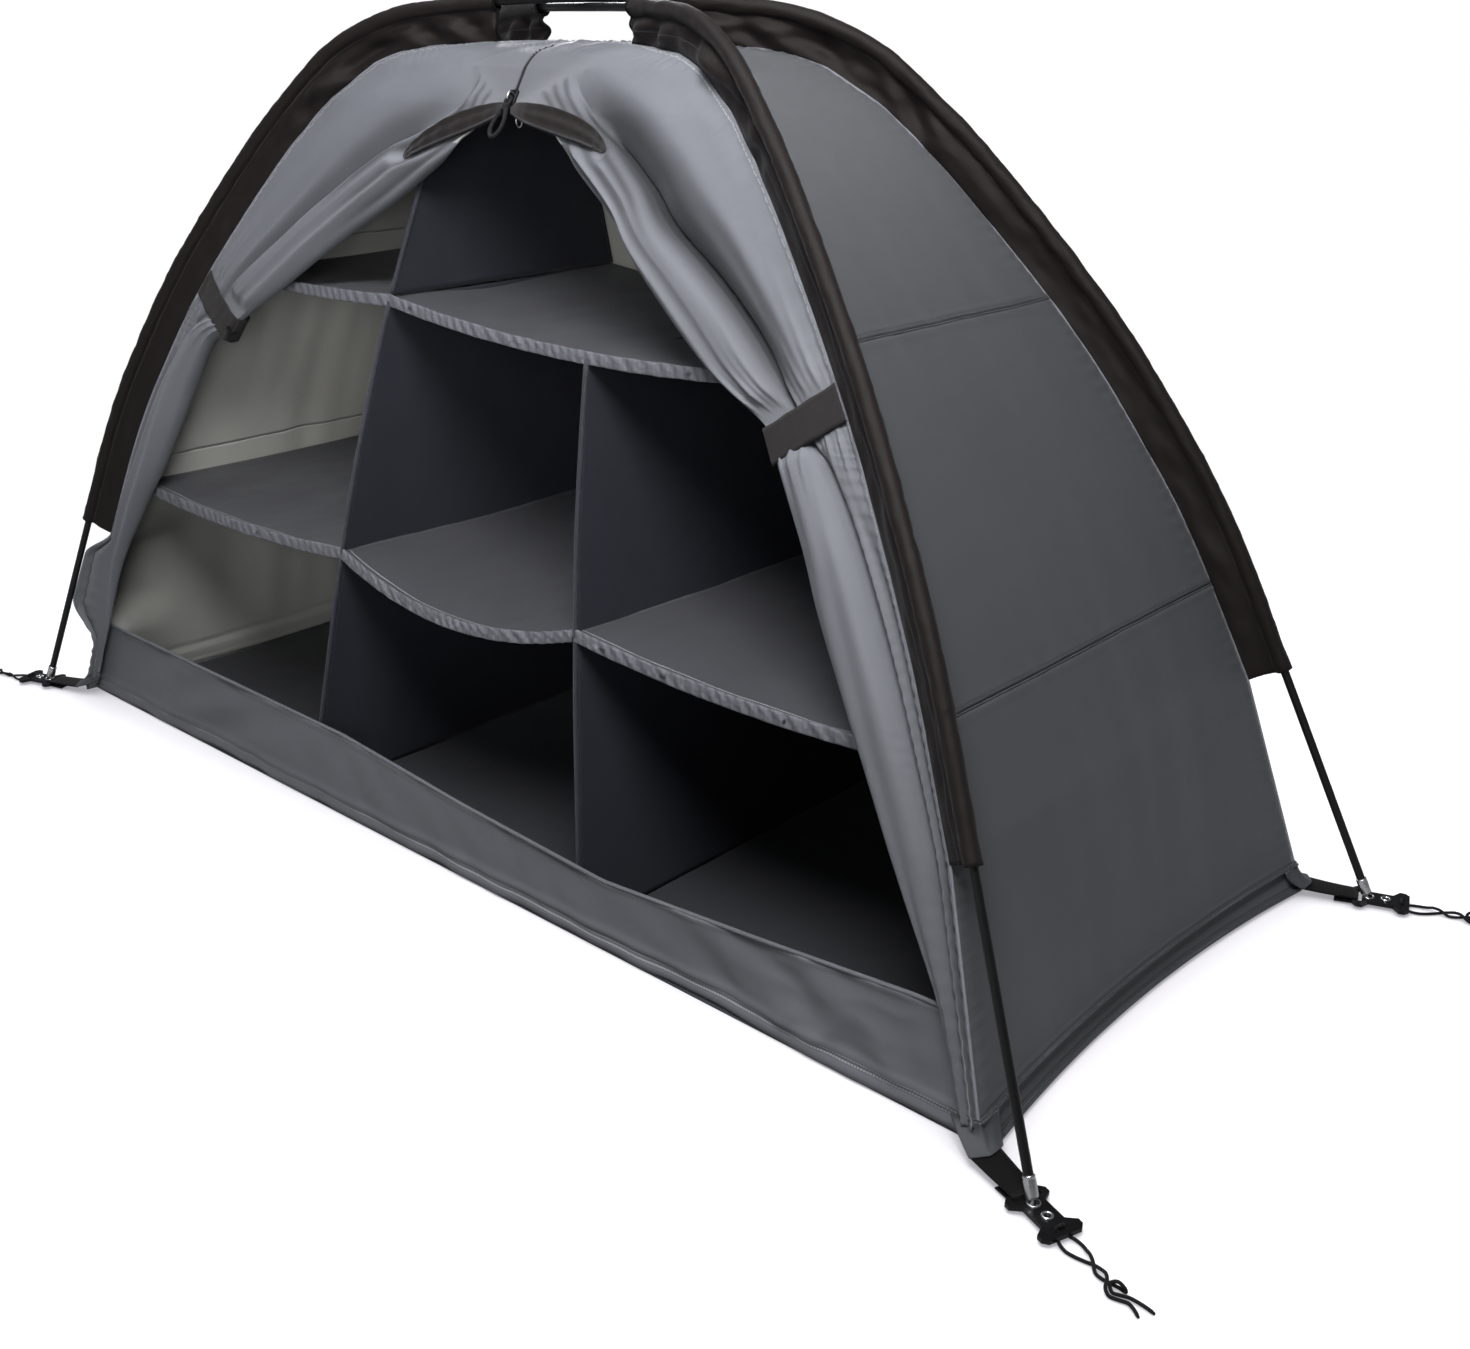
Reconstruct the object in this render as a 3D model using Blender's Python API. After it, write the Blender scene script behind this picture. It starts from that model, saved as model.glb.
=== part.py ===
"""Fabric camp kitchen cupboard: a small crossed-pole tent of cloth with shelves, open at the front.

Metres, +Z up, the front faces -Y, origin on the ground under the middle of the frame.
Run with: blender --background --python part.py
"""
import math

import bpy
from mathutils import Vector

# Driving dimensions, in metres
FOOT_X = 0.816
FOOT_Y = 0.322
CROWN_Z = 0.884
CORNER_X = 0.750
CORNER_Y = 0.298
FIN = 0.037
CLOTH = 0.002
CLEAR = 0.0003
EDGE_CLEAR = 0.0004
MID_SHELF_Z = 0.306
TOP_SHELF_Z = 0.588
DIVIDER_BASE_X = 0.238
DIVIDER_LEAN_SHARE = 0.135
SETBACK = 0.022

# The poles: in shares of the half span and of the crown's height, foot to crown
ARCH_SHARES = (
    (1.000, 0.000), (0.870, 0.284), (0.792, 0.448), (0.720, 0.566), (0.635, 0.684),
    (0.510, 0.824), (0.441, 0.890), (0.365, 0.950), (0.277, 0.985), (0.184, 0.9955),
    (0.090, 0.999), (0.000, 1.000),
)
PLAN_POWER_SHARE = 1.12
STEPS_PER_SPAN = (1, 1, 1, 1, 1, 2, 2, 2, 2, 1, 1)
POLE_RADIUS = 0.00425
POLE_SECTIONS = 3
CROSSING_FADE = 0.26
FERRULE_CLEAR = 0.00015
FERRULE_WALL = 0.0007
FERRULE_RADIUS = POLE_RADIUS + FERRULE_CLEAR + FERRULE_WALL
FERRULE_LENGTH = 0.060
TIP_WALL = 0.0011
TIP_RADIUS = POLE_RADIUS + FERRULE_CLEAR + TIP_WALL
TIP_LENGTH = 0.032
TIP_CUP = 0.024
PIN_RADIUS = 0.0023
PIN_LENGTH = 0.0096
PIN_GROUND_GAP = 0.0016

# The sleeves
SLEEVE_EASE = 0.0011
SLEEVE_BORE = FERRULE_RADIUS + SLEEVE_EASE
SLEEVE_RADIUS = SLEEVE_BORE + CLOTH
SLEEVE_LOW_Z = 0.235
SLEEVE_GAP = 0.108

# The cloth body
SIDE_BOW = 0.026
BOW_FADE_Z = 0.235
LOW_ROWS = 3
SEAM_LOW_Z = 0.335
SEAM_HIGH_Z = 0.612
LIP_INSET = 0.014
LIP_HEIGHT = 0.106
LIP_TOP_SHARES = (
    (-1.0133, 0.9434), (-0.7827, 0.9340), (-0.2347, 0.9151), (0.0667, 0.7736),
    (0.3787, 0.6792), (0.6667, 0.8302), (0.9200, 0.9811), (1.0133, 1.0000),
)
LIP_TOP = [(x * CORNER_X, z * LIP_HEIGHT) for x, z in LIP_TOP_SHARES]
CROWN_STOP_X = 0.015

# The door halves: edge places as heights and half openings
DOOR_EDGE_SHARES = (
    (0.0226, 0.9573), (0.1244, 0.9173), (0.2149, 0.8533), (0.3054, 0.7840),
    (0.4186, 0.7093), (0.5204, 0.6373), (0.5962, 0.5707), (0.6165, 0.5547),
    (0.6448, 0.5067), (0.6900, 0.4267), (0.7353, 0.3333), (0.7975, 0.2200),
    (0.8507, 0.1267), (0.8733, 0.0600), (0.8824, 0.0187), (0.8869, 0.0053),
    (0.8900, 0.0019), (0.9729, 0.0019),
)
DOOR_LOW_Z = 0.022
DOOR_EDGE = [(z * CROWN_Z, x * CORNER_X) for z, x in DOOR_EDGE_SHARES]
DOOR_COLUMNS = 16
PLEATS = 3.5
PLEAT_START_SHARE = 0.125
PLEAT_SIZE = 0.013
PLEAT_SHARES = (
    (0.0249, 0.3077), (0.1471, 0.3077), (0.2262, 0.6154), (0.3733, 0.9231),
    (0.5090, 1.0000), (0.5962, 0.9231), (0.6787, 0.7692), (0.7919, 0.4615),
    (0.8710, 0.0769), (0.8900, 0.0000),
)
TAPE_SIZE = 0.040
TAPE_SHARES = (
    (0.6787, 0.1000), (0.7353, 0.5000), (0.7975, 0.8500), (0.8507, 1.0000),
    (0.8733, 0.8500), (0.8824, 0.4000), (0.8869, 0.2250), (0.8900, 0.1250),
    (0.9729, 0.1250),
)
TAPE_LOW_SHARE = 0.6844
PLEAT_DEPTH = [(z * CROWN_Z, depth * PLEAT_SIZE) for z, depth in PLEAT_SHARES]
TAPE_WIDTH = [(z * CROWN_Z, width * TAPE_SIZE) for z, width in TAPE_SHARES]
TAPE_LOW_Z = TAPE_LOW_SHARE * CROWN_Z
TAPE_GAP = 0.0004

# The ties
TIE_WIDTH = 0.028
TIE_THICK = 0.0014
TIE_OUTER_Z = 0.574
TIE_INNER_Z = 0.528
TIE_REACH = 0.098
TIE_TURN = 0.010
TIE_STANDOFF = 0.0008

# The zip slider and its pulls
SLIDER_SHARE = 0.8991
RUN_SHARES = (0.8937, 0.9276)
SLIDER_Z = SLIDER_SHARE * CROWN_Z
RUN_LOW_Z, RUN_HIGH_Z = (share * CROWN_Z for share in RUN_SHARES)
SLIDER_WIDTH = 0.012
SLIDER_LENGTH = 0.017
SLIDER_PLATE = 0.0016
SLIDER_AIR = 0.0005
SLIDER_BRIDGE = 0.0022
ARCH_WIRE = 0.0009
ARCH_HEIGHT = 0.0062
ARCH_LENGTH = 0.0085
PULL_RADIUS = 0.0012
PULL_LENGTH = 0.046
PULL_WIDTH = 0.019
PULL_HANG_SHARE = 0.2
INNER_PULL_RADIUS = 0.0008
INNER_PULL_LENGTH = 0.022
INNER_PULL_WIDTH = 0.009

# The ground anchors
PLATE_BOTTOM = 0.0034
PLATE_THICK = 0.004
PLATE_LENGTH = 0.056
PLATE_END_WIDTH = 0.040
PLATE_WAIST_WIDTH = 0.022
PLATE_CORNER_SHARE = 0.16
PIN_EASE = 0.0019
PIN_HOLE_RADIUS = PIN_RADIUS + PIN_EASE
PIN_HOLE_BACK = 0.0155
SLOT_LENGTH = 0.026
SLOT_WIDTH = 0.0052
SLOT_INSET = 0.0042
CORD_HOLE_RADIUS = 0.0028
CORD_HOLE_SPREAD = 0.0085
CORD_HOLE_INSET = 0.0075
STRAP_WIDTH = 0.030
STRAP_END_WIDTH = 0.024
STRAP_THICK = 0.0012
STRAP_START_Z = 0.010
STRAP_FOLD = 0.018
CORD_RADIUS = 0.0015

# The shelves
SHELF_SAG = {"left": 0.010, "centre": 0.033, "right": 0.011, "top_left": 0.004, "top_right": 0.020}
SHELF_COLUMNS = 8
FLOOR_COLUMNS = 8
ROUND_SIDES = 8

# Colours from the photo, linear
GREY = (0.115, 0.122, 0.135)
DARK_GREY = (0.062, 0.066, 0.074)
CHARCOAL = (0.022, 0.023, 0.029)
BROWN_BLACK = (0.024, 0.018, 0.018)
BLACK = (0.008, 0.008, 0.009)
SILVER = (0.62, 0.62, 0.64)


def material(name, colour, roughness, metallic=0.0):
    """A plain Principled material, made once."""
    found = bpy.data.materials.get(name)
    if found:
        return found
    made = bpy.data.materials.new(name)
    made.use_nodes = True
    shader = made.node_tree.nodes["Principled BSDF"]
    shader.inputs["Base Color"].default_value = (*colour, 1.0)
    shader.inputs["Roughness"].default_value = roughness
    shader.inputs["Metallic"].default_value = metallic
    made.diffuse_color = (*colour, 1.0)
    return made


def body_cloth():
    return material("body_cloth", GREY, 0.55)


def side_cloth():
    return material("side_cloth", DARK_GREY, 0.6)


def divider_cloth():
    return material("divider_cloth", CHARCOAL, 0.7)


def sleeve_cloth():
    return material("sleeve_cloth", BROWN_BLACK, 0.6)


def webbing():
    return material("webbing", BLACK, 0.75)


def black_plastic():
    return material("black_plastic", BLACK, 0.35)


def fibreglass():
    return material("fibreglass", BLACK, 0.3)


def bright_metal():
    return material("bright_metal", SILVER, 0.3, 1.0)


def cord_material():
    return material("cord", BLACK, 0.8)


def add_object(name, points, faces, surface):
    """One mesh object with its faces turned outwards."""
    mesh = bpy.data.meshes.new(name)
    mesh.from_pydata([tuple(p) for p in points], [], faces)
    mesh.validate()
    volume = 0.0
    for face in faces:
        for k in range(1, len(face) - 1):
            a, b, c = points[face[0]], points[face[k]], points[face[k + 1]]
            volume += a.dot(b.cross(c))
    if volume < 0:
        mesh.flip_normals()
    mesh.materials.append(surface)
    made = bpy.data.objects.new(name, mesh)
    bpy.context.scene.collection.objects.link(made)
    return made


def slab(name, outer, inner, surface):
    """A closed sheet between two grids of points of the same layout."""
    rows, columns = len(outer), len(outer[0])
    points = [Vector(p) for row in outer for p in row] + [Vector(p) for row in inner for p in row]
    half = rows * columns
    faces = []

    def at(i, j, side):
        return side * half + i * columns + j

    for i in range(rows - 1):
        for j in range(columns - 1):
            # Both faces of the sheet are parted along the same diagonal, so that they never cross
            faces.append((at(i, j, 0), at(i, j + 1, 0), at(i + 1, j + 1, 0)))
            faces.append((at(i, j, 0), at(i + 1, j + 1, 0), at(i + 1, j, 0)))
            faces.append((at(i, j, 1), at(i + 1, j + 1, 1), at(i, j + 1, 1)))
            faces.append((at(i, j, 1), at(i + 1, j, 1), at(i + 1, j + 1, 1)))
    rim = [(0, j) for j in range(columns)] + [(i, columns - 1) for i in range(1, rows)]
    rim += [(rows - 1, j) for j in range(columns - 2, -1, -1)] + [(i, 0) for i in range(rows - 2, 0, -1)]
    for k, (i, j) in enumerate(rim):
        m, n = rim[(k + 1) % len(rim)]
        faces.append((at(m, n, 0), at(i, j, 0), at(i, j, 1), at(m, n, 1)))
    return add_object(name, points, faces, surface)


def loft(name, rings, surface, holes=None):
    """A closed solid through rings of points, with a hole along it where holes gives inner rings."""
    count = len(rings[0])
    points = [Vector(p) for ring in rings for p in ring]
    faces = []
    for i in range(len(rings) - 1):
        for j in range(count):
            k = (j + 1) % count
            faces.append((i * count + j, i * count + k, (i + 1) * count + k, (i + 1) * count + j))
    last = (len(rings) - 1) * count
    if holes is None:
        faces.append(tuple(reversed(range(count))))
        faces.append(tuple(range(last, last + count)))
        return add_object(name, points, faces, surface)
    start = len(points)
    points += [Vector(p) for ring in holes for p in ring]
    for i in range(len(rings) - 1):
        for j in range(count):
            k = (j + 1) % count
            a, b = start + i * count, start + (i + 1) * count
            faces.append((a + k, a + j, b + j, b + k))
    for j in range(count):
        k = (j + 1) % count
        faces.append((k, j, start + j, start + k))
        faces.append((last + j, last + k, start + last + k, start + last + j))
    return add_object(name, points, faces, surface)


def table(pairs, at):
    """Straight interpolation in a table of places and values."""
    if at <= pairs[0][0]:
        return pairs[0][1]
    for (x0, y0), (x1, y1) in zip(pairs, pairs[1:]):
        if at <= x1:
            return y0 + (y1 - y0) * (at - x0) / (x1 - x0)
    return pairs[-1][1]


def smooth(share):
    share = min(max(share, 0.0), 1.0)
    return share * share * (3 - 2 * share)


def through(points, steps):
    """A Catmull-Rom curve through the points, sampled span by span."""
    first = points[0] * 2 - points[1]
    last = Vector((-points[-2].x, points[-2].y))
    held = [first] + points + [last]
    made = [points[0]]
    for k, count in enumerate(steps):
        p0, p1, p2, p3 = held[k:k + 4]
        for s in range(1, count + 1):
            t = s / count
            made.append(0.5 * (
                2 * p1 + (p2 - p0) * t + (2 * p0 - 5 * p1 + 4 * p2 - p3) * t * t
                + (3 * p1 - p0 - 3 * p2 + p3) * t * t * t
            ))
    return made


def plan_y(x):
    """How far to the side the frame stands at this distance from the middle."""
    return FOOT_Y * (x / FOOT_X) ** PLAN_POWER_SHARE


def arch_points():
    """One quarter of the frame, foot to crown, on the +X +Y side."""
    shares = [Vector(pair) for pair in ARCH_SHARES]
    quarter = []
    for share in through(shares, STEPS_PER_SPAN):
        x = max(share.x, 0.0) * FOOT_X
        quarter.append(Vector((x, plan_y(x), share.y * CROWN_Z)))
    return quarter


def outward(before, after):
    """The unit normal that points away from the tent, in the frame's own upright plane."""
    along = (after - before).normalized()
    across = along.cross(Vector((0, 0, 1))).normalized()
    return across.cross(along)


def seam_points(quarter):
    """Where the cloth panels meet under the frame: the corner, low rows, then the fin's height inside the pole.

    The cloth is drawn straight along the zip slider's travel.
    """
    upper = []
    for k, place in enumerate(quarter[:-1]):
        if place.z < SLEEVE_LOW_Z:
            continue
        upper.append(place - outward(quarter[k - 1], quarter[k + 1]) * FIN)
    held = [k for k, p in enumerate(upper) if RUN_LOW_Z < p.z < RUN_HIGH_Z]
    start, end = upper[held[0] - 1], upper[held[-1] + 1]
    for k in held:
        upper[k] = start.lerp(end, (upper[k].z - start.z) / (end.z - start.z))
    crown = Vector((0, 0, CROWN_Z - FIN))
    corner = Vector((CORNER_X, CORNER_Y, CLOTH + CLEAR))
    low = [corner.lerp(upper[0], i / LOW_ROWS) for i in range(LOW_ROWS)]
    return low + upper + [crown]


def offset_line(line, distance):
    """A flat polyline moved sideways by this distance, with its corners mitred."""
    made = []
    for k, (x, y) in enumerate(line):
        ways = []
        for a, b in ((k - 1, k), (k, k + 1)):
            if 0 <= a and b < len(line):
                run, rise = line[b][0] - line[a][0], line[b][1] - line[a][1]
                length = math.hypot(run, rise)
                ways.append((-rise / length, run / length))
        nx = sum(w[0] for w in ways) / len(ways)
        ny = sum(w[1] for w in ways) / len(ways)
        size = nx * nx + ny * ny
        made.append((x + nx * distance / size, y + ny * distance / size))
    return made


class Path:
    """A polyline with a length, where every swept piece of one pole takes its rings."""

    def __init__(self, points):
        self.points = points
        self.lengths = [0.0]
        for a, b in zip(points, points[1:]):
            self.lengths.append(self.lengths[-1] + (b - a).length)
        self.total = self.lengths[-1]

    def chord(self, at):
        for k in range(len(self.points) - 1):
            if at <= self.lengths[k + 1]:
                return k
        return len(self.points) - 2

    def frame(self, at):
        """Place, outward normal and sideways direction at this length."""
        for k, length in enumerate(self.lengths[1:-1], 1):
            if abs(length - at) < CLEAR:
                o = outward(self.points[k - 1], self.points[k + 1])
                along = (self.points[k + 1] - self.points[k - 1]).normalized()
                return self.points[k], o, along.cross(o)
        k = self.chord(at)
        a, b = self.points[k], self.points[k + 1]
        share = (at - self.lengths[k]) / (self.lengths[k + 1] - self.lengths[k])
        o = outward(a, b)
        return a.lerp(b, share), o, (b - a).normalized().cross(o)

    def stops(self, start, end):
        """The lengths of the rings from start to end: the two ends and the corners between them."""
        between = [v for v in self.lengths if start + CLEAR < v < end - CLEAR]
        return [start] + between + [end]

    def ring(self, at, radius, sides=ROUND_SIDES):
        place, o, side = self.frame(at)
        made = []
        for j in range(sides):
            turn = 2 * math.pi * (j + 0.5) / sides
            made.append(place + (o * math.cos(turn) + side * math.sin(turn)) * radius)
        return made

    def tube(self, name, start, end, radius, surface, bore=None, sides=ROUND_SIDES):
        stops = self.stops(start, end)
        rings = [self.ring(s, radius, sides) for s in stops]
        holes = [self.ring(s, bore, sides) for s in stops] if bore else None
        return loft(name, rings, surface, holes)


def pole_path(quarter, side, lift):
    """A whole pole from its front foot over the crown to its rear foot, lifted to cross the other one."""
    rising = []
    for place in quarter:
        raised = lift * smooth(1 - place.x / CROSSING_FADE)
        rising.append(Vector((side * place.x, -place.y, place.z + raised)))
    falling = [Vector((-p.x, -p.y, p.z)) for p in reversed(rising[:-1])]
    return Path(rising + falling)


def make_tip(path, name, from_end):
    """The metal end of a pole: a cup over the rod, a shoulder and a pin."""
    pin_start = PIN_GROUND_GAP
    shoulder = pin_start + PIN_LENGTH
    floor = shoulder + TIP_LENGTH - TIP_CUP
    mouth = shoulder + TIP_LENGTH
    bore = POLE_RADIUS + FERRULE_CLEAR
    profile = (
        (pin_start, PIN_RADIUS), (shoulder, PIN_RADIUS), (shoulder, TIP_RADIUS), (mouth, TIP_RADIUS),
        (mouth, bore), (floor, bore),
    )
    rings = []
    for length, radius in profile:
        at = path.total - length if from_end else length
        rings.append(path.ring(at, radius))
    return loft(name, rings, bright_metal())


def make_pole(path, label, ends):
    """The rod sections, their ferrules and the two metal ends."""
    inset = PIN_GROUND_GAP + PIN_LENGTH + TIP_LENGTH - TIP_CUP + CLEAR
    start, end = inset, path.total - inset
    step = (end - start) / POLE_SECTIONS
    for k in range(POLE_SECTIONS):
        low = start + k * step + (CLEAR / 2 if k else 0)
        high = start + (k + 1) * step - (CLEAR / 2 if k < POLE_SECTIONS - 1 else 0)
        path.tube(f"pole_{label}_section_{k + 1}", low, high, POLE_RADIUS, fibreglass())
        if k:
            middle = start + k * step
            path.tube(
                f"pole_{label}_ferrule_{k}", middle - FERRULE_LENGTH / 2, middle + FERRULE_LENGTH / 2,
                FERRULE_RADIUS, bright_metal(), POLE_RADIUS + FERRULE_CLEAR,
            )
    make_tip(path, f"pole_tip_{ends[0]}", False)
    make_tip(path, f"pole_tip_{ends[1]}", True)


def make_sleeve(path, name, seam_of, from_end):
    """A cloth tube round the pole with a fin down to the seam."""
    low, high = None, None
    for k, place in enumerate(path.points):
        length = path.total - path.lengths[k] if from_end else path.lengths[k]
        if length > path.total / 2:
            continue
        if place.z >= SLEEVE_LOW_Z and math.hypot(place.x, place.y) > SLEEVE_GAP:
            low = k if low is None else min(low, k)
            high = k if high is None else max(high, k)
    rings, holes = [], []
    half = CLOTH / 2
    neck = math.sqrt(SLEEVE_RADIUS ** 2 - half ** 2)
    for k in range(low, high + 1):
        place, o, side = path.frame(path.lengths[k])
        foot = seam_of(place)
        down = (foot - place).normalized()
        depth = (foot - place).length - CLEAR - EDGE_CLEAR
        side = side - down * side.dot(down)
        side.normalize()
        outline = [(-half, depth), (half, depth), (half, neck)]
        for turn in (60, 120, 180, 240, 300):
            bend = math.radians(turn)
            outline.append((SLEEVE_RADIUS * math.sin(bend), SLEEVE_RADIUS * math.cos(bend)))
        outline.append((-half, neck))
        rings.append([place + side * a + down * b for a, b in outline])
        bore = []
        for turn in (-8, 8, 24, 70, 125, 180, 235, 290, 336):
            bend = math.radians(turn)
            bore.append((SLEEVE_BORE * math.sin(bend), SLEEVE_BORE * math.cos(bend)))
        holes.append([place + side * a + down * b for a, b in bore])
    return loft(name, rings, sleeve_cloth(), holes)


class Body:
    """The cloth body's outer surface, from the seam under the frame."""

    def __init__(self, seam):
        self.seam = seam

    def at_z(self, z):
        """Half width and half depth of the body at this height."""
        seam = self.seam
        if z <= seam[0].z:
            return seam[0].x, seam[0].y
        for a, b in zip(seam, seam[1:]):
            if z <= b.z:
                share = (z - a.z) / (b.z - a.z) if b.z > a.z else 1.0
                return a.x + (b.x - a.x) * share, a.y + (b.y - a.y) * share
        return 0.0, 0.0

    def rows(self, low=None, high=None, extra=()):
        """Seam places from low to high: its own corners, the two ends and any extra heights."""
        low = self.seam[0].z if low is None else low
        places = [p for p in self.seam[:-1] if p.z > low + CLEAR and (high is None or p.z < high - CLEAR)]
        heights = [low] + list(extra) + ([high] if high is not None else [])
        for z in heights:
            x, y = self.at_z(z)
            if all(abs(z - p.z) > CLEAR for p in places):
                places.append(Vector((x, y, z)))
        if high is None:
            a, b = self.seam[-2], self.seam[-1]
            share = 1 - CROWN_STOP_X / a.x
            places.append(a.lerp(b, share))
        return sorted(places, key=lambda p: (p.z, -p.x))

    def slope(self, place, axis):
        """The outward normal of the side (axis 0) or the front and rear (axis 1) at this seam place."""
        seam = self.seam
        for a, b in zip(seam, seam[1:]):
            if place.z <= b.z + CLEAR / 10 and place.x >= b.x - CLEAR:
                run, rise = a[axis] - b[axis], b.z - a.z
                length = math.hypot(run, rise)
                return rise / length, run / length
        return 0.0, 1.0

    def bow(self, z, share):
        """How far a side's low edge is drawn in at this height and share of its half depth."""
        return SIDE_BOW * (1 - share * share) * max(0.0, 1 - z / BOW_FADE_Z) ** 2

    def inner(self, z, axis):
        """Half width (axis 0) or half depth (axis 1) between the inner faces of the walls at this height."""
        before = None
        for place in self.seam[:-1]:
            run, rise = self.slope(place, axis)
            here = (place[axis] - run * CLOTH, place.z - rise * CLOTH)
            if before and z <= here[1]:
                share = (z - before[1]) / (here[1] - before[1])
                return before[0] + (here[0] - before[0]) * share - CLEAR
            before = here
        return 0.0

    def front_edge(self, z):
        return -(self.at_z(z)[1] - SETBACK)


def side_piece(body, name, side, low, high, columns=4):
    """One piece of a side wall between two of its seams."""
    outer, inner = [], []
    for place in body.rows(low, high):
        run, rise = body.slope(place, 0)
        half = place.y - EDGE_CLEAR
        half_in = max(place.y - CLOTH - EDGE_CLEAR, CLEAR)
        outer.append([])
        inner.append([])
        for j in range(columns + 1):
            share = 2 * j / columns - 1
            x = place.x - body.bow(place.z, share)
            outer[-1].append((side * x, share * half, place.z))
            inner[-1].append((side * (x - run * CLOTH), share * half_in, place.z - rise * CLOTH))
    floor_z = outer[0][0][2]
    for j in range(columns + 1):
        x, y, z = inner[0][j]
        inner[0][j] = (x, y, floor_z)
    return slab(name, outer, inner, side_cloth())


def make_sides(body):
    """Each side wall is three pieces of cloth, joined a little above each row of shelves."""
    for side, label in ((-1, "left"), (1, "right")):
        side_piece(body, f"side_wall_{label}_lower", side, None, SEAM_LOW_Z - CLEAR / 2)
        side_piece(body, f"side_wall_{label}_middle", side, SEAM_LOW_Z + CLEAR / 2, SEAM_HIGH_Z - CLEAR / 2)
        side_piece(body, f"side_wall_{label}_upper", side, SEAM_HIGH_Z + CLEAR / 2, None)


def make_rear(body, columns=8):
    outer, inner = [], []
    for place in body.rows():
        run, rise = body.slope(place, 1)
        half = place.x - EDGE_CLEAR
        half_in = max(place.x - CLOTH - EDGE_CLEAR, CLEAR)
        outer.append([])
        inner.append([])
        for j in range(columns + 1):
            share = 2 * j / columns - 1
            outer[-1].append((share * half, place.y, place.z))
            inner[-1].append((share * half_in, place.y - run * CLOTH, place.z - rise * CLOTH))
    floor_z = outer[0][0][2]
    inner[0] = [(x, y, floor_z) for x, y, z in inner[0]]
    return slab("rear_wall", outer, inner, side_cloth())


def make_floor(body):
    """The floor sheet under the walls, drawn in at the two sides like them."""
    top, bottom = [], []
    front = -(CORNER_Y - LIP_INSET)
    for i in range(3):
        share_y = i - 1
        top.append([])
        bottom.append([])
        y = front if share_y < 0 else share_y * CORNER_Y
        for j in range(FLOOR_COLUMNS + 1):
            share_x = 2 * j / FLOOR_COLUMNS - 1
            half = CORNER_X - body.bow(0.0, share_y)
            top[-1].append((share_x * half, y, CLOTH))
            bottom[-1].append((share_x * half, y, 0.0))
    return slab("floor_sheet", top, bottom, side_cloth())


def make_lip(body, columns=12, rows=2):
    """The low front wall that keeps things in."""
    outer, inner = [], []
    base = CLOTH + CLEAR
    for i in range(rows + 1):
        outer.append([])
        inner.append([])
        for j in range(columns + 1):
            share = 2 * j / columns - 1
            z = base + (table(LIP_TOP, share * CORNER_X) - base) * i / rows
            x, y = body.at_z(z)
            run, rise = body.slope(Vector((x, y, z)), 1)
            y -= LIP_INSET
            drawn = body.bow(z, (y - CLOTH) / body.at_z(z)[1])
            x = share * (body.inner(max(z, base + CLOTH), 0) - drawn)
            outer[-1].append((x, -y, z))
            inner[-1].append((x, -(y - CLOTH / run), z))
    return slab("front_wall_low", outer, inner, body_cloth())


def door_surface(body, side, place, x, inset):
    """A point on the front, this far in from its outer surface."""
    run, rise = body.slope(place, 1)
    return (side * x, -(place.y - run * inset), place.z - rise * inset)


def make_door(body, side, label):
    """A door half: flat at the top, swept to the side in pleats, held by its tie, hanging to the corner."""
    extra = [DOOR_LOW_Z] + [z for z, _ in DOOR_EDGE if DOOR_LOW_Z < z < CROWN_Z - FIN - CLOTH]
    extra.append((SEAM_LOW_Z + DOOR_EDGE[4][0]) / 2)
    outer, inner = [], []
    for place in body.rows(DOOR_LOW_Z, None, extra):
        seam_x = place.x - EDGE_CLEAR
        edge_x = table(DOOR_EDGE, place.z)
        if place.z > TAPE_LOW_Z:
            edge_x += table(TAPE_WIDTH, place.z) + TAPE_GAP
        edge_x = min(edge_x, seam_x - CLOTH * 2)
        depth = table(PLEAT_DEPTH, place.z)
        outer.append([])
        inner.append([])
        mitre = max(PLEAT_START_SHARE, 2 * CLOTH / (seam_x - edge_x))
        for j in range(DOOR_COLUMNS + 1):
            share = j / DOOR_COLUMNS
            x = seam_x + (edge_x - seam_x) * share
            wave = max(0.0, share - PLEAT_START_SHARE) / (1 - PLEAT_START_SHARE)
            inset = depth * (0.5 - 0.5 * math.cos(2 * math.pi * PLEATS * wave))
            outer[-1].append(door_surface(body, side, place, x, inset))
            x_in = x - CLOTH * max(0.0, 1 - share / mitre)
            inner[-1].append(door_surface(body, side, place, x_in, inset + CLOTH))
    return slab(f"door_{label}", outer, inner, body_cloth())


def make_tape(body, side, label):
    """The dark zip tape and facing on the edge of a door half."""
    extra = [z for z, _ in DOOR_EDGE if TAPE_LOW_Z < z < CROWN_Z - FIN - CLOTH]
    outer, inner = [], []
    for place in body.rows(TAPE_LOW_Z, None, extra):
        edge_x = table(DOOR_EDGE, place.z)
        width = table(TAPE_WIDTH, place.z)
        inset = table(PLEAT_DEPTH, place.z)
        outer.append([])
        inner.append([])
        for j in range(3):
            x = edge_x + width * j / 2
            outer[-1].append(door_surface(body, side, place, x, inset))
            inner[-1].append(door_surface(body, side, place, x, inset + CLOTH))
    return slab(f"zip_tape_{label}", outer, inner, sleeve_cloth())


def tie_rows(body, share, standoff):
    """The lower and upper edge of a tie at this share of its reach, on the front."""
    made = []
    for edge in (-0.5, 0.5):
        z = TIE_OUTER_Z + (TIE_INNER_Z - TIE_OUTER_Z) * share + edge * TIE_WIDTH
        x, y = body.at_z(z)
        start = x - CLOTH
        made.append(Vector((start - TIE_REACH * share, -(y + standoff), z)))
    return made


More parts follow.
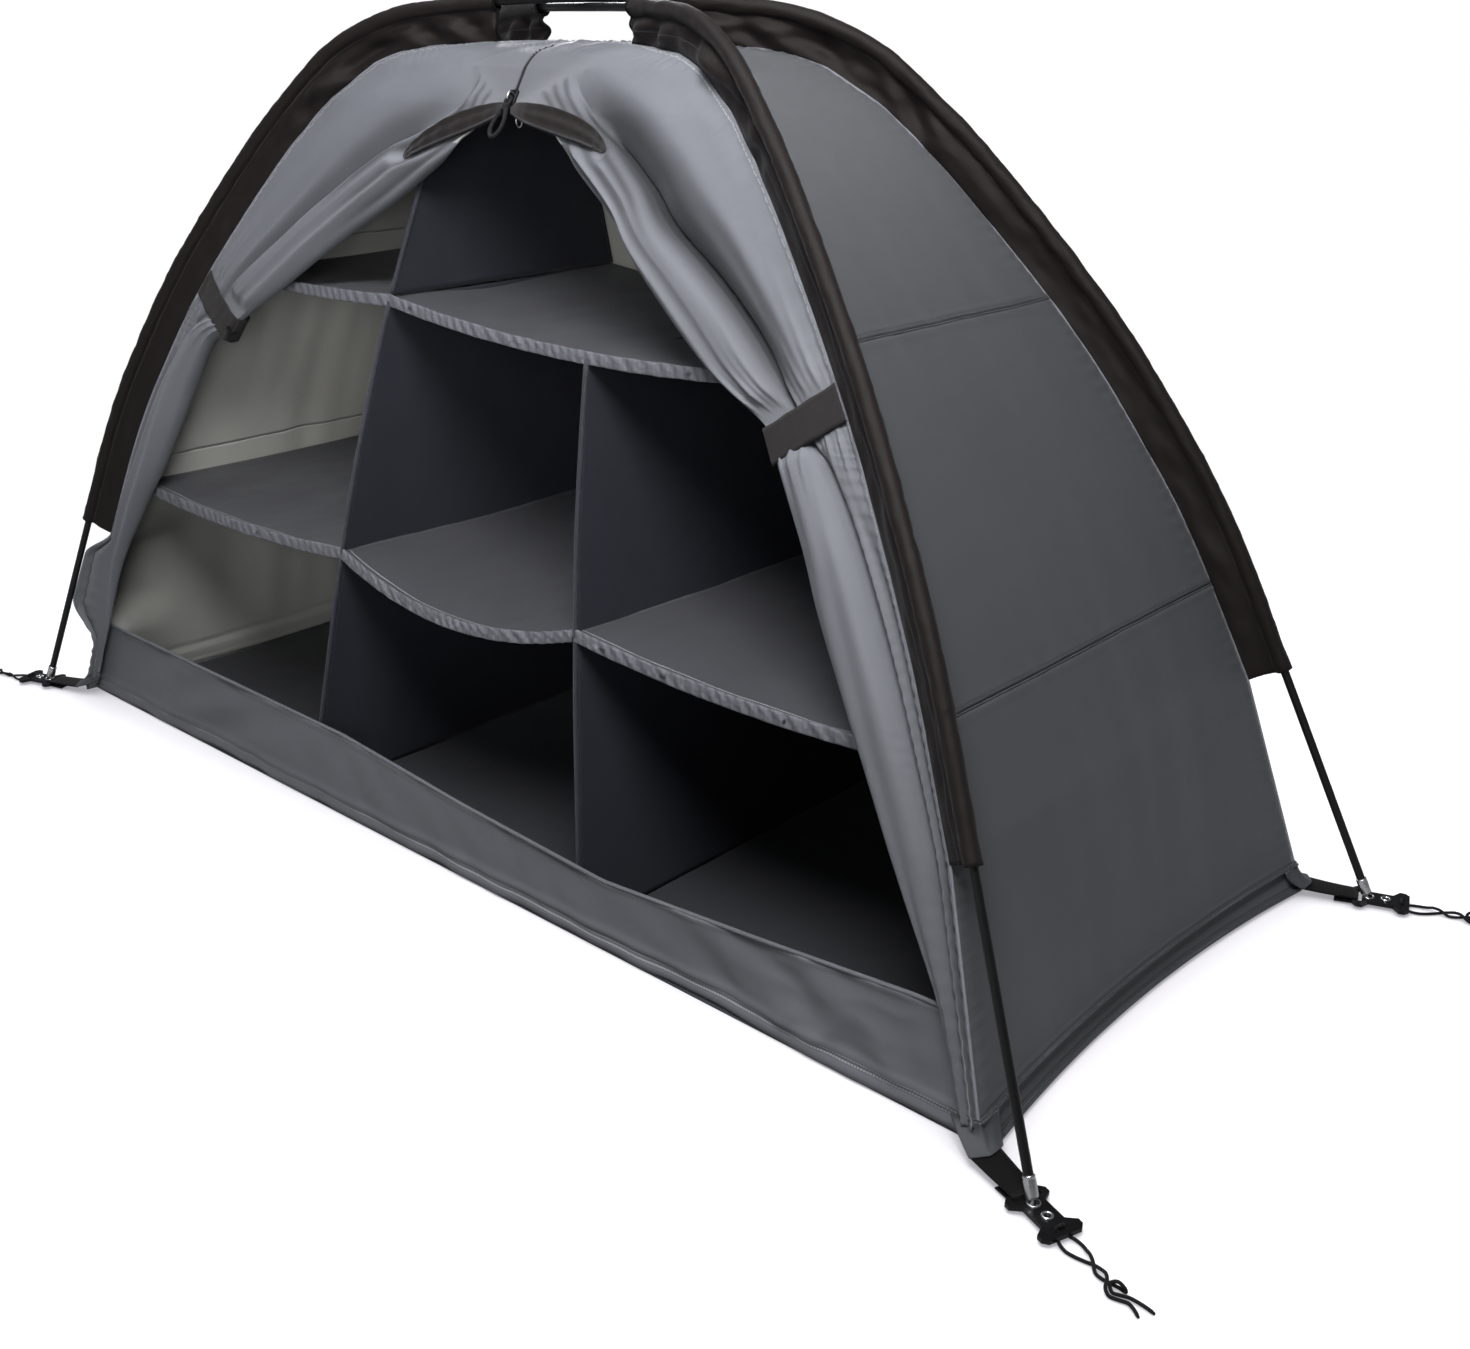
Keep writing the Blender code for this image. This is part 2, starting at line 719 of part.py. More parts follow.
def make_tie(body, side, label, columns=5):
    """The strap that holds the door half back: a band over the front that opens, and its loop behind."""
    front, back = [], []
    for j in range(columns + 1):
        near = tie_rows(body, j / columns, TIE_STANDOFF)
        far = tie_rows(body, j / columns, TIE_STANDOFF + TIE_THICK)
        front.append([(side * p.x, p.y, p.z) for p in far])
        back.append([(side * p.x, p.y, p.z) for p in near])
    slab(f"tie_band_{label}", front, back, sleeve_cloth())
    depth = table(PLEAT_DEPTH, TIE_INNER_Z - TIE_WIDTH / 2) + CLOTH
    ahead = -TIE_STANDOFF - TIE_THICK / 2
    behind = depth + TIE_STANDOFF + TIE_THICK / 2
    tip = TIE_REACH + TIE_TURN
    line = [
        (TIE_REACH + CLOTH, ahead), (tip - TIE_TURN / 3, ahead), (tip, ahead + TIE_TURN / 3),
        (tip, behind - TIE_TURN / 3), (tip - TIE_TURN / 3, behind), (TIE_REACH / 2, behind), (TIE_TURN, behind),
    ]
    sides = []
    for run_and_inset in (offset_line(line, TIE_THICK / 2), offset_line(line, -TIE_THICK / 2)):
        rows = []
        for run, inset in run_and_inset:
            rows.append([(side * p.x, p.y, p.z) for p in tie_rows(body, run / TIE_REACH, -inset)])
        sides.append(rows)
    slab(f"tie_loop_{label}", sides[0], sides[1], sleeve_cloth())


def divider_x(z):
    return DIVIDER_BASE_X - DIVIDER_LEAN_SHARE * z


def top_shelf_z(x):
    """The top shelf's upper face: it hangs between the left divider and the right wall."""
    pivot = -divider_x(TOP_SHELF_Z)
    wall = body_width_at(TOP_SHELF_Z)
    if x < pivot:
        share = (x + wall) / (pivot + wall)
        return TOP_SHELF_Z - SHELF_SAG["top_left"] * 4 * share * (1 - share)
    share = (x - pivot) / (wall - pivot)
    return TOP_SHELF_Z - SHELF_SAG["top_right"] * 4 * share * (1 - share)


def body_width_at(z):
    return BODY.inner(z, 0)


def spread(left, right, columns):
    return [left + (right - left) * j / columns for j in range(columns + 1)]


def make_shelf(body, name, places, height_of):
    """A sagging sheet between two edges, from behind the doors to the rear wall."""
    top, bottom = [], []
    for x in places:
        z = height_of(x)
        rear = body.inner(z, 1) - CLEAR
        front = body.front_edge(z)
        top.append([])
        bottom.append([])
        for i in range(3):
            y = front + (rear - front) * i / 2
            top[-1].append((x, y, z))
            bottom[-1].append((x, y, z - CLOTH))
    return slab(name, top, bottom, side_cloth())


def make_shelves(body):
    wall = body.inner(MID_SHELF_Z, 0)
    gap = CLOTH / 2 + CLEAR
    near = divider_x(MID_SHELF_Z) - gap
    far = divider_x(MID_SHELF_Z - SHELF_SAG["centre"] - CLOTH) + gap
    bays = (("left", -wall, -far), ("centre", -near, near), ("right", far, wall))
    for label, left, right in bays:
        def height_of(x, label=label, left=left, right=right):
            share = (x - left) / (right - left)
            return MID_SHELF_Z - SHELF_SAG[label] * 4 * share * (1 - share)
        make_shelf(body, f"shelf_middle_{label}", spread(left, right, SHELF_COLUMNS), height_of)
    top_wall = body.inner(TOP_SHELF_Z, 0)
    pivot = -divider_x(TOP_SHELF_Z)
    places = spread(-top_wall, pivot, SHELF_COLUMNS // 2)[:-1] + spread(pivot, top_wall, SHELF_COLUMNS + 2)
    make_shelf(body, "shelf_top", places, top_shelf_z)


def make_divider(body, name, side, low, high, rows=6):
    outer, inner = [], []
    for i in range(rows + 1):
        z = low + (high - low) * i / rows
        x = divider_x(z)
        front, rear = body.front_edge(z), body.inner(z, 1) - CLEAR
        outer.append([])
        inner.append([])
        for j in range(3):
            y = front + (rear - front) * j / 2
            outer[-1].append((side * (x + CLOTH / 2), y, z))
            inner[-1].append((side * (x - CLOTH / 2), y, z))
    return slab(name, outer, inner, divider_cloth())


def make_dividers(body):
    floor = CLOTH + CLEAR
    left_top = TOP_SHELF_Z - CLOTH - CLEAR
    right_top = top_shelf_z(divider_x(TOP_SHELF_Z)) - CLOTH - CLEAR * 2
    make_divider(body, "divider_left", -1, floor, left_top)
    make_divider(body, "divider_right", 1, floor, right_top)
    roof = CROWN_Z - FIN - CLOTH * 5
    make_divider(body, "divider_left_upper", -1, TOP_SHELF_Z + CLEAR, roof)


def slider_frame(body):
    """Middle of the slider on the front, the way up the zip and the way out."""
    x, y = body.at_z(SLIDER_Z)
    place = Vector((x, y, SLIDER_Z))
    run, rise = body.slope(place, 1)
    out = Vector((0, -run, rise))
    up = Vector((0, rise, run))
    return Vector((0, -y, SLIDER_Z)), up, out


def box_points(middle, axes, sizes):
    """The eight corners of a box in a turned frame."""
    made = []
    for c in (-0.5, 0.5):
        for a, b in ((-0.5, -0.5), (0.5, -0.5), (0.5, 0.5), (-0.5, 0.5)):
            made.append(middle + axes[0] * a * sizes[0] + axes[1] * b * sizes[1] + axes[2] * c * sizes[2])
    return made


def join(target, others):
    """Fuses the others into target with exact unions."""
    for k, other in enumerate(others):
        fuse = target.modifiers.new(f"join_{k}", "BOOLEAN")
        fuse.operation = "UNION"
        fuse.solver = "EXACT"
        fuse.object = other
        other.hide_render = True
        other.display_type = "WIRE"
    return target


def cut(target, others):
    for k, other in enumerate(others):
        take = target.modifiers.new(f"cut_{k}", "BOOLEAN")
        take.operation = "DIFFERENCE"
        take.solver = "EXACT"
        take.object = other
        other.hide_render = True
        other.display_type = "WIRE"
    return target


def box(name, middle, axes, sizes, surface):
    points = box_points(middle, axes, sizes)
    faces = [(0, 1, 2, 3), (4, 7, 6, 5), (0, 4, 5, 1), (1, 5, 6, 2), (2, 6, 7, 3), (3, 7, 4, 0)]
    return add_object(name, points, faces, surface)


def wire(name, points, radius, surface, sides=6, closed=False):
    """A round wire through the points."""
    rings = []
    count = len(points)
    for k, place in enumerate(points):
        before = points[k - 1] if closed or k else points[0]
        after = points[(k + 1) % count] if closed or k < count - 1 else points[-1]
        along = (after - before).normalized()
        if k == 0:
            side = along.orthogonal().normalized()
        side = (side - along * side.dot(along)).normalized()
        over = along.cross(side)
        ring = []
        for j in range(sides):
            turn = 2 * math.pi * j / sides
            ring.append(place + (side * math.cos(turn) + over * math.sin(turn)) * radius)
        rings.append(ring)
    if not closed:
        return loft(name, rings, surface)
    flat = [p for ring in rings for p in ring]
    shift = min(range(sides), key=lambda s: (rings[-1][0] - rings[0][s]).length)
    faces = []
    for i in range(count):
        n = (i + 1) % count
        turn = shift if n == 0 else 0
        for j in range(sides):
            k = (j + 1) % sides
            faces.append((
                i * sides + j, i * sides + k,
                n * sides + (k + turn) % sides, n * sides + (j + turn) % sides,
            ))
    return add_object(name, flat, faces, surface)


def make_slider(body):
    """The zip slider: two plates round the tapes, the bridge between them and a wire arch on each."""
    middle, up, out = slider_frame(body)
    across = Vector((1, 0, 0))
    axes = (across, up, out)
    front = SLIDER_AIR + SLIDER_PLATE / 2
    back = CLOTH + SLIDER_AIR + SLIDER_PLATE / 2
    plate = (SLIDER_WIDTH, SLIDER_LENGTH, SLIDER_PLATE)
    slider = box("zip_slider", middle + out * front, axes, plate, bright_metal())
    others = [box("slider_back", middle - out * back, axes, plate, bright_metal())]
    reach = CLOTH + 2 * SLIDER_AIR + SLIDER_PLATE
    bridge = middle - up * (SLIDER_LENGTH / 2 - SLIDER_BRIDGE) - out * (CLOTH / 2)
    others.append(box("slider_bridge", bridge, axes, (SLIDER_BRIDGE, SLIDER_BRIDGE * 2, reach), bright_metal()))
    for label, way, base in (("front", 1, front), ("back", -1, -back)):
        foot = middle + out * base
        high = out * way * ARCH_HEIGHT
        reach_up = up * ARCH_LENGTH / 2
        corner = out * way * ARCH_WIRE * 2
        points = [
            foot - reach_up, foot - reach_up + high - corner, foot - reach_up * 0.75 + high,
            foot + reach_up * 0.75 + high, foot + reach_up + high - corner, foot + reach_up,
        ]
        others.append(wire(f"slider_arch_{label}", points, ARCH_WIRE, bright_metal()))
    join(slider, others)
    return middle, up, out, front, back


def pull_points(pivot, length, width, radius, drop):
    """A hanging loop through the slider's arch: across under the arch, then round below."""
    half = width / 2
    neck = ARCH_WIRE + radius * 2.2
    across = Vector((1, 0, 0))
    layout = (
        (-neck, 0.0), (0.0, radius * 0.4), (neck, 0.0), (neck + radius, -0.10), (half * 0.72, -0.35),
        (half, -0.62), (half * 0.93, -0.82), (half * 0.6, -0.96), (0.0, -1.0), (-half * 0.6, -0.96),
        (-half * 0.93, -0.82), (-half, -0.62), (-half * 0.72, -0.35), (-neck - radius, -0.10),
    )
    made = []
    for a, b in layout:
        fall = b * length if b < 0 else b
        made.append(pivot + across * a + drop * -fall)
    return made


def make_zip(body):
    make_tape(body, -1, "left")
    make_tape(body, 1, "right")
    middle, up, out, front, back = make_slider(body)
    lift = ARCH_HEIGHT - ARCH_WIRE - PULL_RADIUS - CLEAR
    pivot = middle + out * (front + lift) - up * (ARCH_LENGTH / 2 - ARCH_WIRE - PULL_RADIUS * 1.4 - CLEAR)
    down = Vector((0, 0, -1))
    hanging = (down * PULL_HANG_SHARE - up * (1 - PULL_HANG_SHARE)).normalized()
    points = pull_points(pivot, PULL_LENGTH, PULL_WIDTH, PULL_RADIUS, hanging)
    hang = wire("zip_pull_cord", points, PULL_RADIUS, cord_material(), closed=True)
    place_origin(hang, pivot)
    lift = ARCH_HEIGHT - ARCH_WIRE - INNER_PULL_RADIUS - CLEAR
    pivot_in = middle - out * (back + lift) - up * (ARCH_LENGTH / 2 - ARCH_WIRE - INNER_PULL_RADIUS * 1.4 - CLEAR)
    points = pull_points(pivot_in, INNER_PULL_LENGTH, INNER_PULL_WIDTH, INNER_PULL_RADIUS, down)
    inner = wire("zip_pull_inner", points, INNER_PULL_RADIUS, bright_metal(), closed=True)
    place_origin(inner, pivot_in)
    return pivot, pivot_in, up


def place_origin(made, origin):
    """Moves an object's origin onto its joint, with the shape left where it is."""
    for vertex in made.data.vertices:
        vertex.co -= origin
    made.location = origin


def anchor_frame(sx, sy):
    """The corner of the cloth, the way out from it to the pole's foot, and the sideways direction."""
    corner = Vector((sx * CORNER_X, sy * CORNER_Y, 0))
    foot = Vector((sx * FOOT_X, sy * FOOT_Y, 0))
    out = (foot - corner).normalized()
    return corner, foot, out, Vector((-out.y, out.x, 0))


def plate_outline():
    """The plate's edge: ends wider than its waist, corners cut, in shares of its length and width."""
    half = PLATE_LENGTH / 2
    wide = PLATE_END_WIDTH / 2
    waist = PLATE_WAIST_WIDTH / 2
    nip = PLATE_CORNER_SHARE * PLATE_LENGTH / 2
    quarter = [(half, wide - nip), (half - nip, wide), (half - nip * 2.2, wide), (half - nip * 3.6, waist), (0.0, waist)]
    left = [(-x, y) for x, y in reversed(quarter[:-1])]
    upper = quarter + left
    return upper + [(x, -y) for x, y in reversed(upper)]


def prism(name, outline, at, low, high, surface):
    rings = [[at(x, y, z) for x, y in outline] for z in (low, high)]
    return loft(name, rings, surface)


def round_outline(x, y, radius, sides=10):
    made = []
    for k in range(sides):
        turn = 2 * math.pi * k / sides
        made.append((x + radius * math.cos(turn), y + radius * math.sin(turn)))
    return made


def slot_outline(x, half_length, half_width):
    return [(x - half_width, -half_length), (x + half_width, -half_length),
            (x + half_width, half_length), (x - half_width, half_length)]


def make_anchor(label, sx, sy):
    """A ground plate at a corner: webbing slot, pin hole and two cord holes."""
    corner, foot, out, side = anchor_frame(sx, sy)
    lean = (QUARTER[0] - QUARTER[1]).xy.length / QUARTER[1].z
    hole = foot - out * lean * (PLATE_BOTTOM + PLATE_THICK / 2)
    middle = hole + out * (PLATE_LENGTH / 2 - PIN_HOLE_BACK)

    def at(x, y, z):
        return middle + out * x + side * y + Vector((0, 0, z))

    top = PLATE_BOTTOM + PLATE_THICK
    plate = prism(f"anchor_plate_{label}", plate_outline(), at, PLATE_BOTTOM, top, black_plastic())
    reach = PLATE_THICK
    half = PLATE_LENGTH / 2
    outlines = [
        slot_outline(-half + SLOT_INSET + SLOT_WIDTH / 2, SLOT_LENGTH / 2, SLOT_WIDTH / 2),
        round_outline(-half + PIN_HOLE_BACK, 0.0, PIN_HOLE_RADIUS),
        round_outline(half - CORD_HOLE_INSET, CORD_HOLE_SPREAD / 2, CORD_HOLE_RADIUS),
        round_outline(half - CORD_HOLE_INSET, -CORD_HOLE_SPREAD / 2, CORD_HOLE_RADIUS),
    ]
    cutters = []
    for k, outline in enumerate(outlines):
        cutters.append(prism(
            f"cutter_{label}_{k}", outline, at, PLATE_BOTTOM - reach, top + reach, black_plastic(),
        ))
    cut(plate, cutters)
    make_strap(label, corner, middle, out, side)
    make_cord(label, at)


def make_strap(label, corner, middle, out, side):
    """Webbing from the cloth's corner round the plate's inner bar and back under it."""
    bar_near = (middle - corner).dot(out) - PLATE_LENGTH / 2
    bar_far = bar_near + SLOT_INSET
    slot_in = bar_far + STRAP_THICK / 2 + CLEAR
    over = PLATE_BOTTOM + PLATE_THICK + CLEAR + STRAP_THICK / 2
    under = PLATE_BOTTOM - CLEAR - STRAP_THICK / 2
    start = EDGE_CLEAR + CLOTH
    path = [
        (start, STRAP_START_Z), (start + (bar_near - start) * 0.5, STRAP_START_Z * 0.8),
        (bar_near - STRAP_THICK * 2, over), (bar_far - CLEAR, over), (slot_in, over - STRAP_THICK / 2),
        (slot_in, under + STRAP_THICK / 2), (bar_far - CLEAR, under), (bar_near - STRAP_FOLD, under),
    ]
    sides = []
    for line in (offset_line(path, STRAP_THICK / 2), offset_line(path, -STRAP_THICK / 2)):
        rows = []
        for run, rise in line:
            wide = STRAP_WIDTH + (STRAP_END_WIDTH - STRAP_WIDTH) * min(1.0, run / bar_near)
            rows.append([corner + out * run + side * y + Vector((0, 0, rise)) for y in (-wide / 2, wide / 2)])
        sides.append(rows)
    return slab(f"corner_strap_{label}", sides[0], sides[1], webbing())


# The cord of an anchor, from one tail through the knot and the plate and back: millimetres out from
# the plate's middle, to the side, and up from the ground
CORD_ROUTE = (
    (119.0, 9.0, 1.6), (112.0, 8.0, 1.6), (105.0, 6.0, 1.8), (98.5, 3.0, 2.2), (93.0, -1.5, 2.2),
    (88.0, -4.8, 2.4), (83.5, -3.0, 6.2), (86.5, 1.5, 8.2), (91.5, 3.6, 6.0), (92.5, 4.6, 1.9),
    (87.0, 3.4, 1.8), (80.0, 0.6, 1.8), (73.0, -2.2, 1.8), (66.0, -2.4, 2.0), (59.0, 1.2, 4.6),
    (52.0, 4.2, 4.9), (45.0, 6.6, 2.6), (38.0, 8.0, 1.6), (31.0, 7.2, 1.6), (24.0, 5.0, 1.6),
    (21.0, 4.4, 2.2), (20.4, 4.3, 5.4), (20.0, 3.4, 9.2), (19.8, 0.0, 9.4), (20.0, -3.4, 9.2),
    (20.4, -4.3, 5.4), (21.0, -4.4, 2.2), (24.0, -5.0, 1.6), (31.0, -7.2, 1.6), (38.0, -7.6, 1.6),
    (45.0, -5.4, 1.6), (52.0, -2.0, 1.6), (59.0, 2.0, 1.6), (66.0, 2.6, 3.4), (73.0, 1.8, 5.0),
    (79.0, -2.2, 5.6), (83.5, -7.2, 3.8), (89.5, -8.6, 1.7), (96.0, -5.0, 1.7), (102.0, -1.0, 1.7),
    (109.0, -1.4, 1.6), (116.0, -3.6, 1.6),
)
MILLIMETRE = 0.001


def make_cord(label, at):
    """The cord loop that a peg goes through."""
    curve = bpy.data.curves.new(f"anchor_cord_{label}", "CURVE")
    curve.dimensions = "3D"
    curve.bevel_depth = CORD_RADIUS
    curve.bevel_resolution = 2
    curve.use_fill_caps = True
    line = curve.splines.new("POLY")
    line.points.add(len(CORD_ROUTE) - 1)
    for point, (x, y, z) in zip(line.points, CORD_ROUTE):
        point.co = (*at(x * MILLIMETRE, y * MILLIMETRE, z * MILLIMETRE), 1)
    curve.materials.append(cord_material())
    made = bpy.data.objects.new(curve.name, curve)
    bpy.context.scene.collection.objects.link(made)


def clear_scene():
    for held in list(bpy.data.objects):
        bpy.data.objects.remove(held)


clear_scene()
QUARTER = arch_points()
SEAM = seam_points(QUARTER)
BODY = Body(SEAM)
CROSSING = POLE_RADIUS + CLEAR / 2
POLE_A = pole_path(QUARTER, -1, CROSSING)
POLE_B = pole_path(QUARTER, 1, -CROSSING)


def seam_under(place):
    """The seam place that belongs to this place on a pole."""
    nearest = min(
        (k for k in range(len(QUARTER) - 1)),
        key=lambda k: abs(QUARTER[k].x - abs(place.x)),
    )
    first = next(k for k, p in enumerate(QUARTER) if p.z >= SLEEVE_LOW_Z)
    found = SEAM[LOW_ROWS + nearest - first]
    return Vector((math.copysign(found.x, place.x), math.copysign(found.y, place.y), found.z))


make_pole(POLE_A, "a", ("front_left", "rear_right"))
make_pole(POLE_B, "b", ("front_right", "rear_left"))
make_sleeve(POLE_A, "sleeve_front_left", seam_under, False)
make_sleeve(POLE_A, "sleeve_rear_right", seam_under, True)
make_sleeve(POLE_B, "sleeve_front_right", seam_under, False)
make_sleeve(POLE_B, "sleeve_rear_left", seam_under, True)
make_sides(BODY)
make_rear(BODY)
make_floor(BODY)
make_lip(BODY)
make_door(BODY, -1, "left")
make_door(BODY, 1, "right")
make_tie(BODY, -1, "left")
make_tie(BODY, 1, "right")
make_shelves(BODY)
make_dividers(BODY)
PIVOTS = make_zip(BODY)
make_anchor("front_left", -1, -1)
make_anchor("front_right", 1, -1)
make_anchor("rear_left", -1, 1)
make_anchor("rear_right", 1, 1)
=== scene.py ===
"""Looks of the fabric camp kitchen cupboard: cloth, zip, webbing, poles and anchors over its solids."""
import bisect
import math

import bmesh
import bpy
from mathutils import Matrix, Vector, noise


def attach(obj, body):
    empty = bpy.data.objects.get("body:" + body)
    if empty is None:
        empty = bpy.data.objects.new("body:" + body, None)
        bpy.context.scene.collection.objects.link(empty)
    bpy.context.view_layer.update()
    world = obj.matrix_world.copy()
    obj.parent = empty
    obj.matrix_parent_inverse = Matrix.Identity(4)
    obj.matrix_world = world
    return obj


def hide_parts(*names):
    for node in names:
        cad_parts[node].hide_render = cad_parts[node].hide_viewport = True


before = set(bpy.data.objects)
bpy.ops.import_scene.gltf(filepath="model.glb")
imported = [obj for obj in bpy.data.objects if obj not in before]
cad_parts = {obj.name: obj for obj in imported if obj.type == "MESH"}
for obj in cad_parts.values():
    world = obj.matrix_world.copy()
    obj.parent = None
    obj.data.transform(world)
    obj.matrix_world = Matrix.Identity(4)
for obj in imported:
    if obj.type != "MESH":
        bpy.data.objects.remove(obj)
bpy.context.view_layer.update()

# The frame's own sizes, as the solids have them, in metres
FOOT_X, FOOT_Y, CROWN_Z = 0.816, 0.322, 0.884
CORNER_X, CORNER_Y = 0.750, 0.298
FIN, CLOTH, CLEAR = 0.037, 0.002, 0.0003
PEAK_Z = CROWN_Z - FIN
SLEEVE_LOW_Z, SLEEVE_GAP, SLEEVE_RADIUS = 0.235, 0.108, 0.0082
POLE_RADIUS, FERRULE_RADIUS, TIP_RADIUS, PIN_RADIUS = 0.00425, 0.0051, 0.0055, 0.0023
POLE_LIFT, ROD_INSET = 0.0044, 0.0192 + CLEAR
MID_SHELF_Z, TOP_SHELF_Z = 0.306, 0.588
SEAM_LOW_Z, SEAM_HIGH_Z = 0.335, 0.612
SETBACK, BASE_Z, SEAM_END = 0.022, 0.0025, 0.006
TIE_Z, TIE_RUN, TIE_DROP, TIE_WIDE = 0.574, 0.098, 0.046, 0.028
ARCH_SHARES = (
    (1.000, 0.000), (0.870, 0.284), (0.792, 0.448), (0.720, 0.566), (0.635, 0.684), (0.510, 0.824),
    (0.441, 0.890), (0.365, 0.950), (0.277, 0.985), (0.184, 0.9955), (0.090, 0.999), (0.000, 1.000),
)
LIP_TOP = (
    (-0.760, 0.100), (-0.587, 0.099), (-0.176, 0.097), (0.050, 0.082), (0.284, 0.072), (0.500, 0.088),
    (0.690, 0.104), (0.760, 0.106),
)
CORNERS = {"front_left": (-1, -1), "front_right": (1, -1), "rear_left": (-1, 1), "rear_right": (1, 1)}
SIDES = ((-1, "left"), (1, "right"))
ACROSS = Vector((1, 0, 0))
UPWARD = Vector((0, 0, 1))


# Camera first: it stands where the photograph was taken
def stand_camera():
    data = bpy.data.cameras.new("camera")
    data.lens = 40.02
    data.sensor_width = 36
    camera = bpy.data.objects.new("camera", data)
    bpy.context.scene.collection.objects.link(camera)
    yaw, pitch, roll = math.radians(42.524), math.radians(22.274), math.radians(-0.318)
    ahead = Vector((-math.sin(yaw) * math.cos(pitch), math.cos(yaw) * math.cos(pitch), -math.sin(pitch)))
    right = Vector((math.cos(yaw), math.sin(yaw), 0))
    up = right.cross(ahead)
    across = right * math.cos(roll) + up * math.sin(roll)
    above = up * math.cos(roll) - right * math.sin(roll)
    turned = Matrix((across, above, -ahead)).transposed().to_4x4()
    camera.matrix_world = Matrix.Translation((1.33952, -1.23884, 0.88063)) @ turned
    bpy.context.scene.camera = camera


stand_camera()


# Small helpers on numbers
def lookup(table, at):
    """Straight interpolation in a table of places and values."""
    if at <= table[0][0]:
        return table[0][1]
    for (a, low), (b, high) in zip(table, table[1:]):
        if at <= b:
            return low + (high - low) * (at - a) / (b - a)
    return table[-1][1]


def ease(share):
    share = min(max(share, 0.0), 1.0)
    return share * share * (3 - 2 * share)


def hump(distance, width):
    return math.exp(-(distance / width) ** 2)


def wave(turns):
    return math.sin(2 * math.pi * turns)


def rough(x, y, z):
    return noise.noise(Vector((x, y, z)))


def ruffled(x, y, *layers):
    """Layers of noise added up, each with its height, its two frequencies and its seed."""
    return sum(high * rough(x * across, y * along, seed) for high, across, along, seed in layers)


def thousandths(*rows):
    return [[value / 1000 for value in row] for row in rows]


def glide(knots, at):
    """A smooth curve through a list of number tuples, at a place counted in knots."""
    last = len(knots) - 1
    at = min(max(at, 0.0), last)
    k = min(int(at), last - 1)
    t = at - k
    near = (knots[max(k - 1, 0)], knots[k], knots[k + 1], knots[min(k + 2, last)])
    made = []
    for a, b, c, d in zip(*near):
        squared, cubed = 2 * a - 5 * b + 4 * c - d, 3 * b - a - 3 * c + d
        made.append(0.5 * (2 * b + (c - a) * t + squared * t * t + cubed * t ** 3))
    return made


# The poles' line and the seam under it
def quarter_arch(steps=8):
    """One quarter of the frame from its foot to the crown, on the +X +Y side."""
    (x0, z0), (x1, z1) = ARCH_SHARES[:2]
    before_last = ARCH_SHARES[-2]
    knots = [(2 * x0 - x1, 2 * z0 - z1), *ARCH_SHARES, (-before_last[0], before_last[1])]
    places = []
    for k in range((len(ARCH_SHARES) - 1) * steps + 1):
        share, rise = glide(knots, 1 + k / steps)
        x = max(share, 0.0) * FOOT_X
        places.append(Vector((x, FOOT_Y * (x / FOOT_X) ** 1.12, rise * CROWN_Z)))
    return places


def outward(before, after):
    along = (after - before).normalized()
    return along.cross(UPWARD).normalized().cross(along)


ARCH = quarter_arch()


def seam_line():
    """Where the panels meet: straight from the ground to the sleeve, then a fin's height inside the pole."""
    upper = []
    for before, place, after in zip(ARCH, ARCH[1:], ARCH[2:]):
        if place.z >= SLEEVE_LOW_Z:
            upper.append(place - outward(before, after) * FIN)
    start = min(upper, key=lambda p: abs(p.z - 0.786))
    end = min(upper, key=lambda p: abs(p.z - 0.8237))
    for k, place in enumerate(upper):
        if start.z < place.z < end.z:
            upper[k] = start.lerp(end, (place.z - start.z) / (end.z - start.z))
    corner = Vector((CORNER_X, CORNER_Y, CLOTH + CLEAR))
    low = [corner.lerp(upper[0], k / 16) for k in range(16)]
    return low + upper + [Vector((0, 0, PEAK_Z))]


class Line:
    """A line of points, read by its length."""

    def __init__(self, points):
        self.points = points
        self.lengths = [0.0]
        for a, b in zip(points, points[1:]):
            self.lengths.append(self.lengths[-1] + (b - a).length)
        self.total = self.lengths[-1]

    def between(self, keys, value):
        k = min(max(bisect.bisect_right(keys, value) - 1, 0), len(keys) - 2)
        share = (value - keys[k]) / max(keys[k + 1] - keys[k], 1e-9)
        return self.points[k].lerp(self.points[k + 1], min(max(share, 0.0), 1.0))

    def at(self, length):
        return self.between(self.lengths, length)

    def stretch(self, start, end, step=0.012):
        count = max(2, int(abs(end - start) / step))
        return [self.at(start + (end - start) * k / count) for k in range(count + 1)]

    def frame(self, length):
        """The place at a length, with its outward, sideways and forward directions."""
        before, after = self.at(length - 0.006), self.at(length + 0.006)
        along, out = (after - before).normalized(), outward(before, after)
        return self.at(length), out, along.cross(out)


class Seam(Line):
    """The seam line, read by its height or by its half width too."""

    def __init__(self, points):
        super().__init__(points)
        self.heights = [p.z for p in points]
        self.widths = [-p.x for p in points]

    def at_z(self, z):
        return self.between(self.heights, z)

    def at_x(self, x):
        return self.between(self.widths, -x)

    def length_at_z(self, z):
        k = min(max(bisect.bisect_right(self.heights, z) - 1, 0), len(self.heights) - 2)
        return self.lengths[k] + (self.at_z(z) - self.points[k]).length

    def normal(self, z, axis):
        """The outward normal of the side (axis 0) or front (axis 1), as its level and upward shares."""
        low, high = self.at_z(z - 0.004), self.at_z(z + 0.004)
        if z > PEAK_Z - 0.006:
            low, high = self.at_z(PEAK_Z - 0.010), self.at_z(PEAK_Z)
        run, rise = low[axis] - high[axis], high.z - low.z
        length = math.hypot(run, rise) or 1.0
        return rise / length, run / length


SEAM = Seam(seam_line())


def front_point(x, z, lift):
    """A point on the front panels, lifted off them by this much."""
    level, up = SEAM.normal(z, 1)
    return Vector((x, -(SEAM.at_z(z).y + level * lift), z + up * lift))


